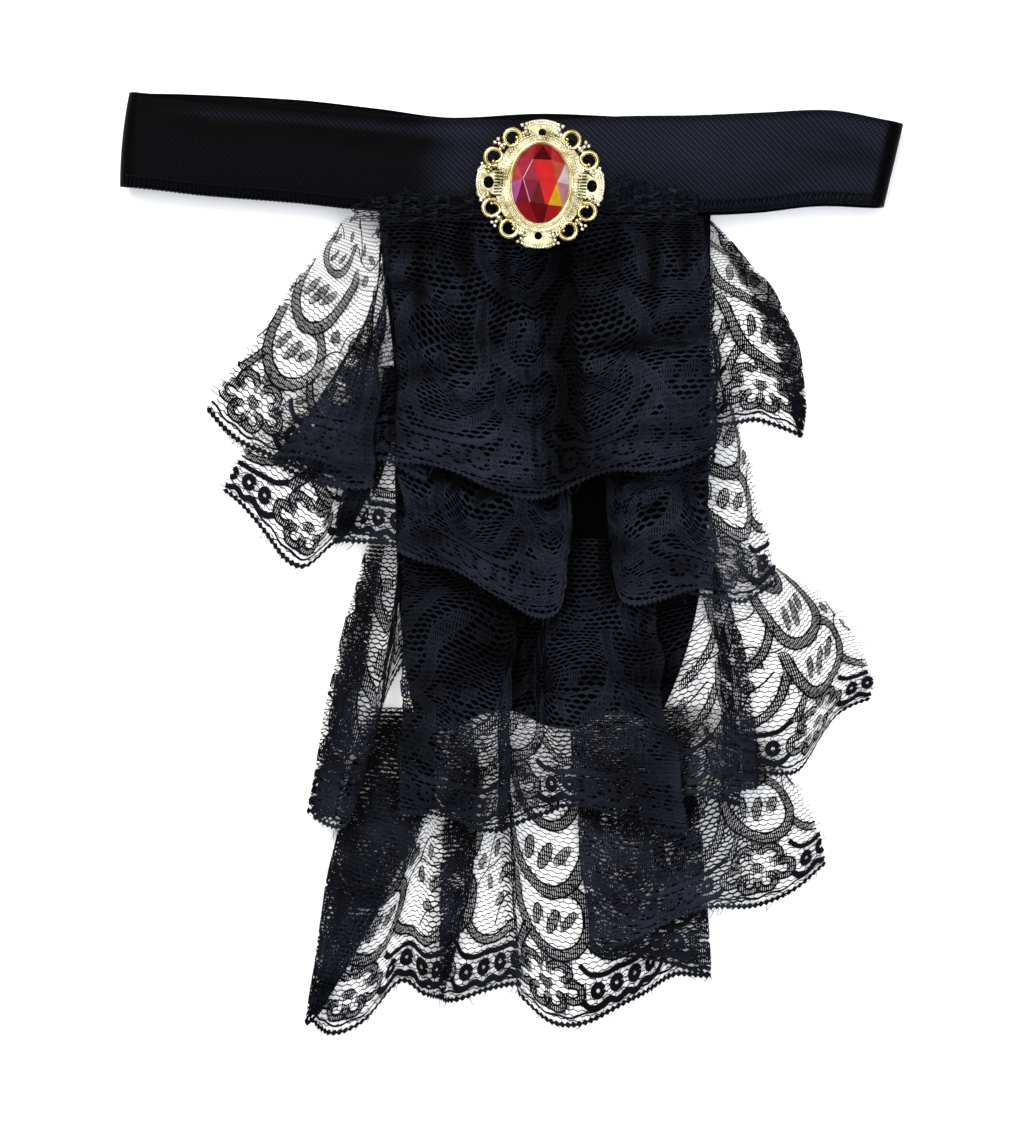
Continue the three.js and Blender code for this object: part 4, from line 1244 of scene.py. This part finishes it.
# Painted reflections, highlights and shade of the foil-backed stone, what each part throws back: place on the
# stone and shade
stonePaintedLight = [
    (0.3, 7, "#4a080c"), (-3, 7.3, "#a8242c"), (-0.9, 8.6, "#8f1118"), (3.4, 7.3, "#cc1a20"),
    (1.6, 8.6, "#9c141a"),
    (4.3, 3.6, "#c8603c"), (6.1, 2, "#f6dde4"), (6.2, -1.9, "#d98aa0"), (4, -3.6, "#f4c41c"),
    (3.2, -7.4, "#c9221c"),
    (-0.25, -6.7, "#6d0c12"), (-3.1, -7.3, "#a01620"), (-4.3, -3, "#7c1c33"), (-6.5, -1.6, "#c45aa8"),
    (-6.3, 2, "#c8453f"), (-4.2, 3.8, "#b03048"), (-2.3, 2.3, "#a82844"), (-2.6, -1.6, "#821630"),
    (-3.25, 3.3, "#f8d4de"), (-3.45, -2.1, "#e0a0b4"), (-0.4, 4, "#d4181e"), (1.9, 0.2, "#dc1c1c"),
    (-0.4, -3.3, "#64080e"),
]
stoneTable = [(-2.1, 5.7), (2.6, 5.7), (4.25, 0.2), (2.15, -5.6), (-2.5, -5), (-4.4, 0.85)]
# points of the star facets
stoneStar = [(0.3, 9.7), (6.1, 5), (5.7, -5.6), (-0.4, -9.7), (-6, -5.1), (-6.1, 4.9)]


# Facets by hull: a six-sided table, six star points on the girdle, then the girdle
def makeStone():
    shape = bmesh.new()
    halfWidth, halfLength = brooch["stoneWidth"] / 2, brooch["stoneLength"] / 2
    sides = brooch["girdleSides"]
    for height, taper in ((0, 0.94), (brooch["girdle"], 1)):
        for k in range(sides):
            angle = tau * k / sides
            x, y = taper * halfWidth * math.cos(angle), taper * halfLength * math.sin(angle)
            shape.verts.new((x, y, height))
    for corners, height in ((stoneStar, brooch["girdle"] + 0.35), (stoneTable, brooch["stoneHeight"])):
        for x, y in corners:
            shape.verts.new((x, y, height))
    bmesh.ops.convex_hull(shape, input=shape.verts)
    bmesh.ops.dissolve_limit(shape, angle_limit=math.radians(1), verts=shape.verts, edges=shape.edges)
    # lines of the facets behind, seen through the table, cut so that each part of the table takes its own
    # painted reflection
    for x, y, slope in ((-0.4, 0.4, 71), (-0.4, 0.4, 107.4), (-0.4, 0.4, -3)):
        tops = [f for f in shape.faces if f.normal.z > 0.99 and (slope > 0 or f.calc_center_median().x < x)]
        edges = {e for f in tops for e in f.edges}
        verts = {v for f in tops for v in f.verts}
        across = Matrix.Rotation(math.radians(slope), 3, "Z") @ Vector((0, 1, 0))
        cut = tops + list(edges) + list(verts)
        bmesh.ops.bisect_plane(shape, geom=cut, plane_co=(x, y, 0), plane_no=across)
    # the table's left edges are bevelled into thin faces that take a pale painted highlight
    paintedHighlightEdges = [e for e in shape.edges if all(v.co.z > brooch["stoneHeight"] - 0.01 for v in e.verts)
            and sum(v.co.x for v in e.verts) < -5.5 and any(f.normal.z < 0.99 for f in e.link_faces)]
    bmesh.ops.bevel(shape, geom=paintedHighlightEdges, offset=0.13, segments=1, profile=0.5, affect="EDGES", material=-1)
    bmesh.ops.translate(shape, verts=shape.verts, vec=(0, 0, brooch["plate"] + 0.25))
    piece = makePiece("faceted_stone", shape, redStone, ornamentPlace, smoothed=False)
    layer = piece.data.color_attributes.new("facetPaintedLight", "FLOAT_COLOR", "CORNER")
    back = onOrnament.inverted()
    # each face takes the painted light of the nearest place in the table
    for face in piece.data.polygons:
        place = back @ (Vector(face.center) / mm - Vector(zero))
        near = min(stonePaintedLight, key=lambda tone: math.hypot(place.x - tone[0], place.y - tone[1]))
        for corner in face.loop_indices:
            layer.data[corner].color = linear(near[2])
    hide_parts("brooch_stone")


makeBeading()
makeWireLoops()
makeRibs()
makeStone()
# the setting takes the darker gilt, painted shade under the beads and wires, and the pin plated steel
for name, finish in (("brooch_setting", giltCastPaintedShade), ("brooch_pin", steel)):
    for holder in bpy.data.objects[name].material_slots:
        holder.material = finish
print("brooch made")

# Floor, light and camera

studio = {"lens": 100, "sensor": 36, "viewHeight": 288.3, "midHeight": 5, "view": (0.08, -1.03)}

floorShape = bmesh.new()
bmesh.ops.create_grid(floorShape, x_segments=8, y_segments=8, size=1.6)
floorMesh = bpy.data.meshes.new("floor")
floorShape.to_mesh(floorMesh)
floorShape.free()
floorMesh.materials.append(paper)
floor = bpy.data.objects.new("floor", floorMesh)
bpy.context.scene.collection.objects.link(floor)


def addLight(name, place, size, power, colour):
    lamp = bpy.data.lights.new(name, "AREA")
    lamp.shape, lamp.size, lamp.size_y = "RECTANGLE", size[0], size[1]
    lamp.energy, lamp.color = power, colour[:3]
    light = bpy.data.objects.new(name, lamp)
    light.location = place
    light.rotation_euler = (-Vector(place)).to_track_quat("-Z", "Y").to_euler()
    bpy.context.scene.collection.objects.link(light)


addLight("keyLight", (-0.45, 0.75, 0.95), (0.7, 0.5), 16, linear("#fffaf2"))
addLight("fillLight", (0.6, -0.3, 1.1), (0.8, 0.8), 6.5, linear("#f2f6ff"))
addLight("topLight", (0, 0.1, 1.6), (1.2, 1.2), 14.5, linear("#ffffff"))

world = bpy.data.worlds.new("studioWorld")
world.use_nodes = True
world.node_tree.nodes["Background"].inputs[0].default_value = linear("#eef1f6")
world.node_tree.nodes["Background"].inputs[1].default_value = 0.6
bpy.context.scene.world = world
bpy.context.scene.view_settings.view_transform = "Standard"

cameraData = bpy.data.cameras.new("camera")
cameraData.lens, cameraData.sensor_width = studio["lens"], studio["sensor"]
cameraData.clip_start, cameraData.clip_end = 0.01, 20
camera = bpy.data.objects.new("camera", cameraData)
distance = studio["viewHeight"] * mm * studio["lens"] / studio["sensor"]
camera.location = (studio["view"][0] * mm, studio["view"][1] * mm, distance + studio["midHeight"] * mm)
bpy.context.scene.collection.objects.link(camera)
bpy.context.scene.camera = camera
print("studio made")
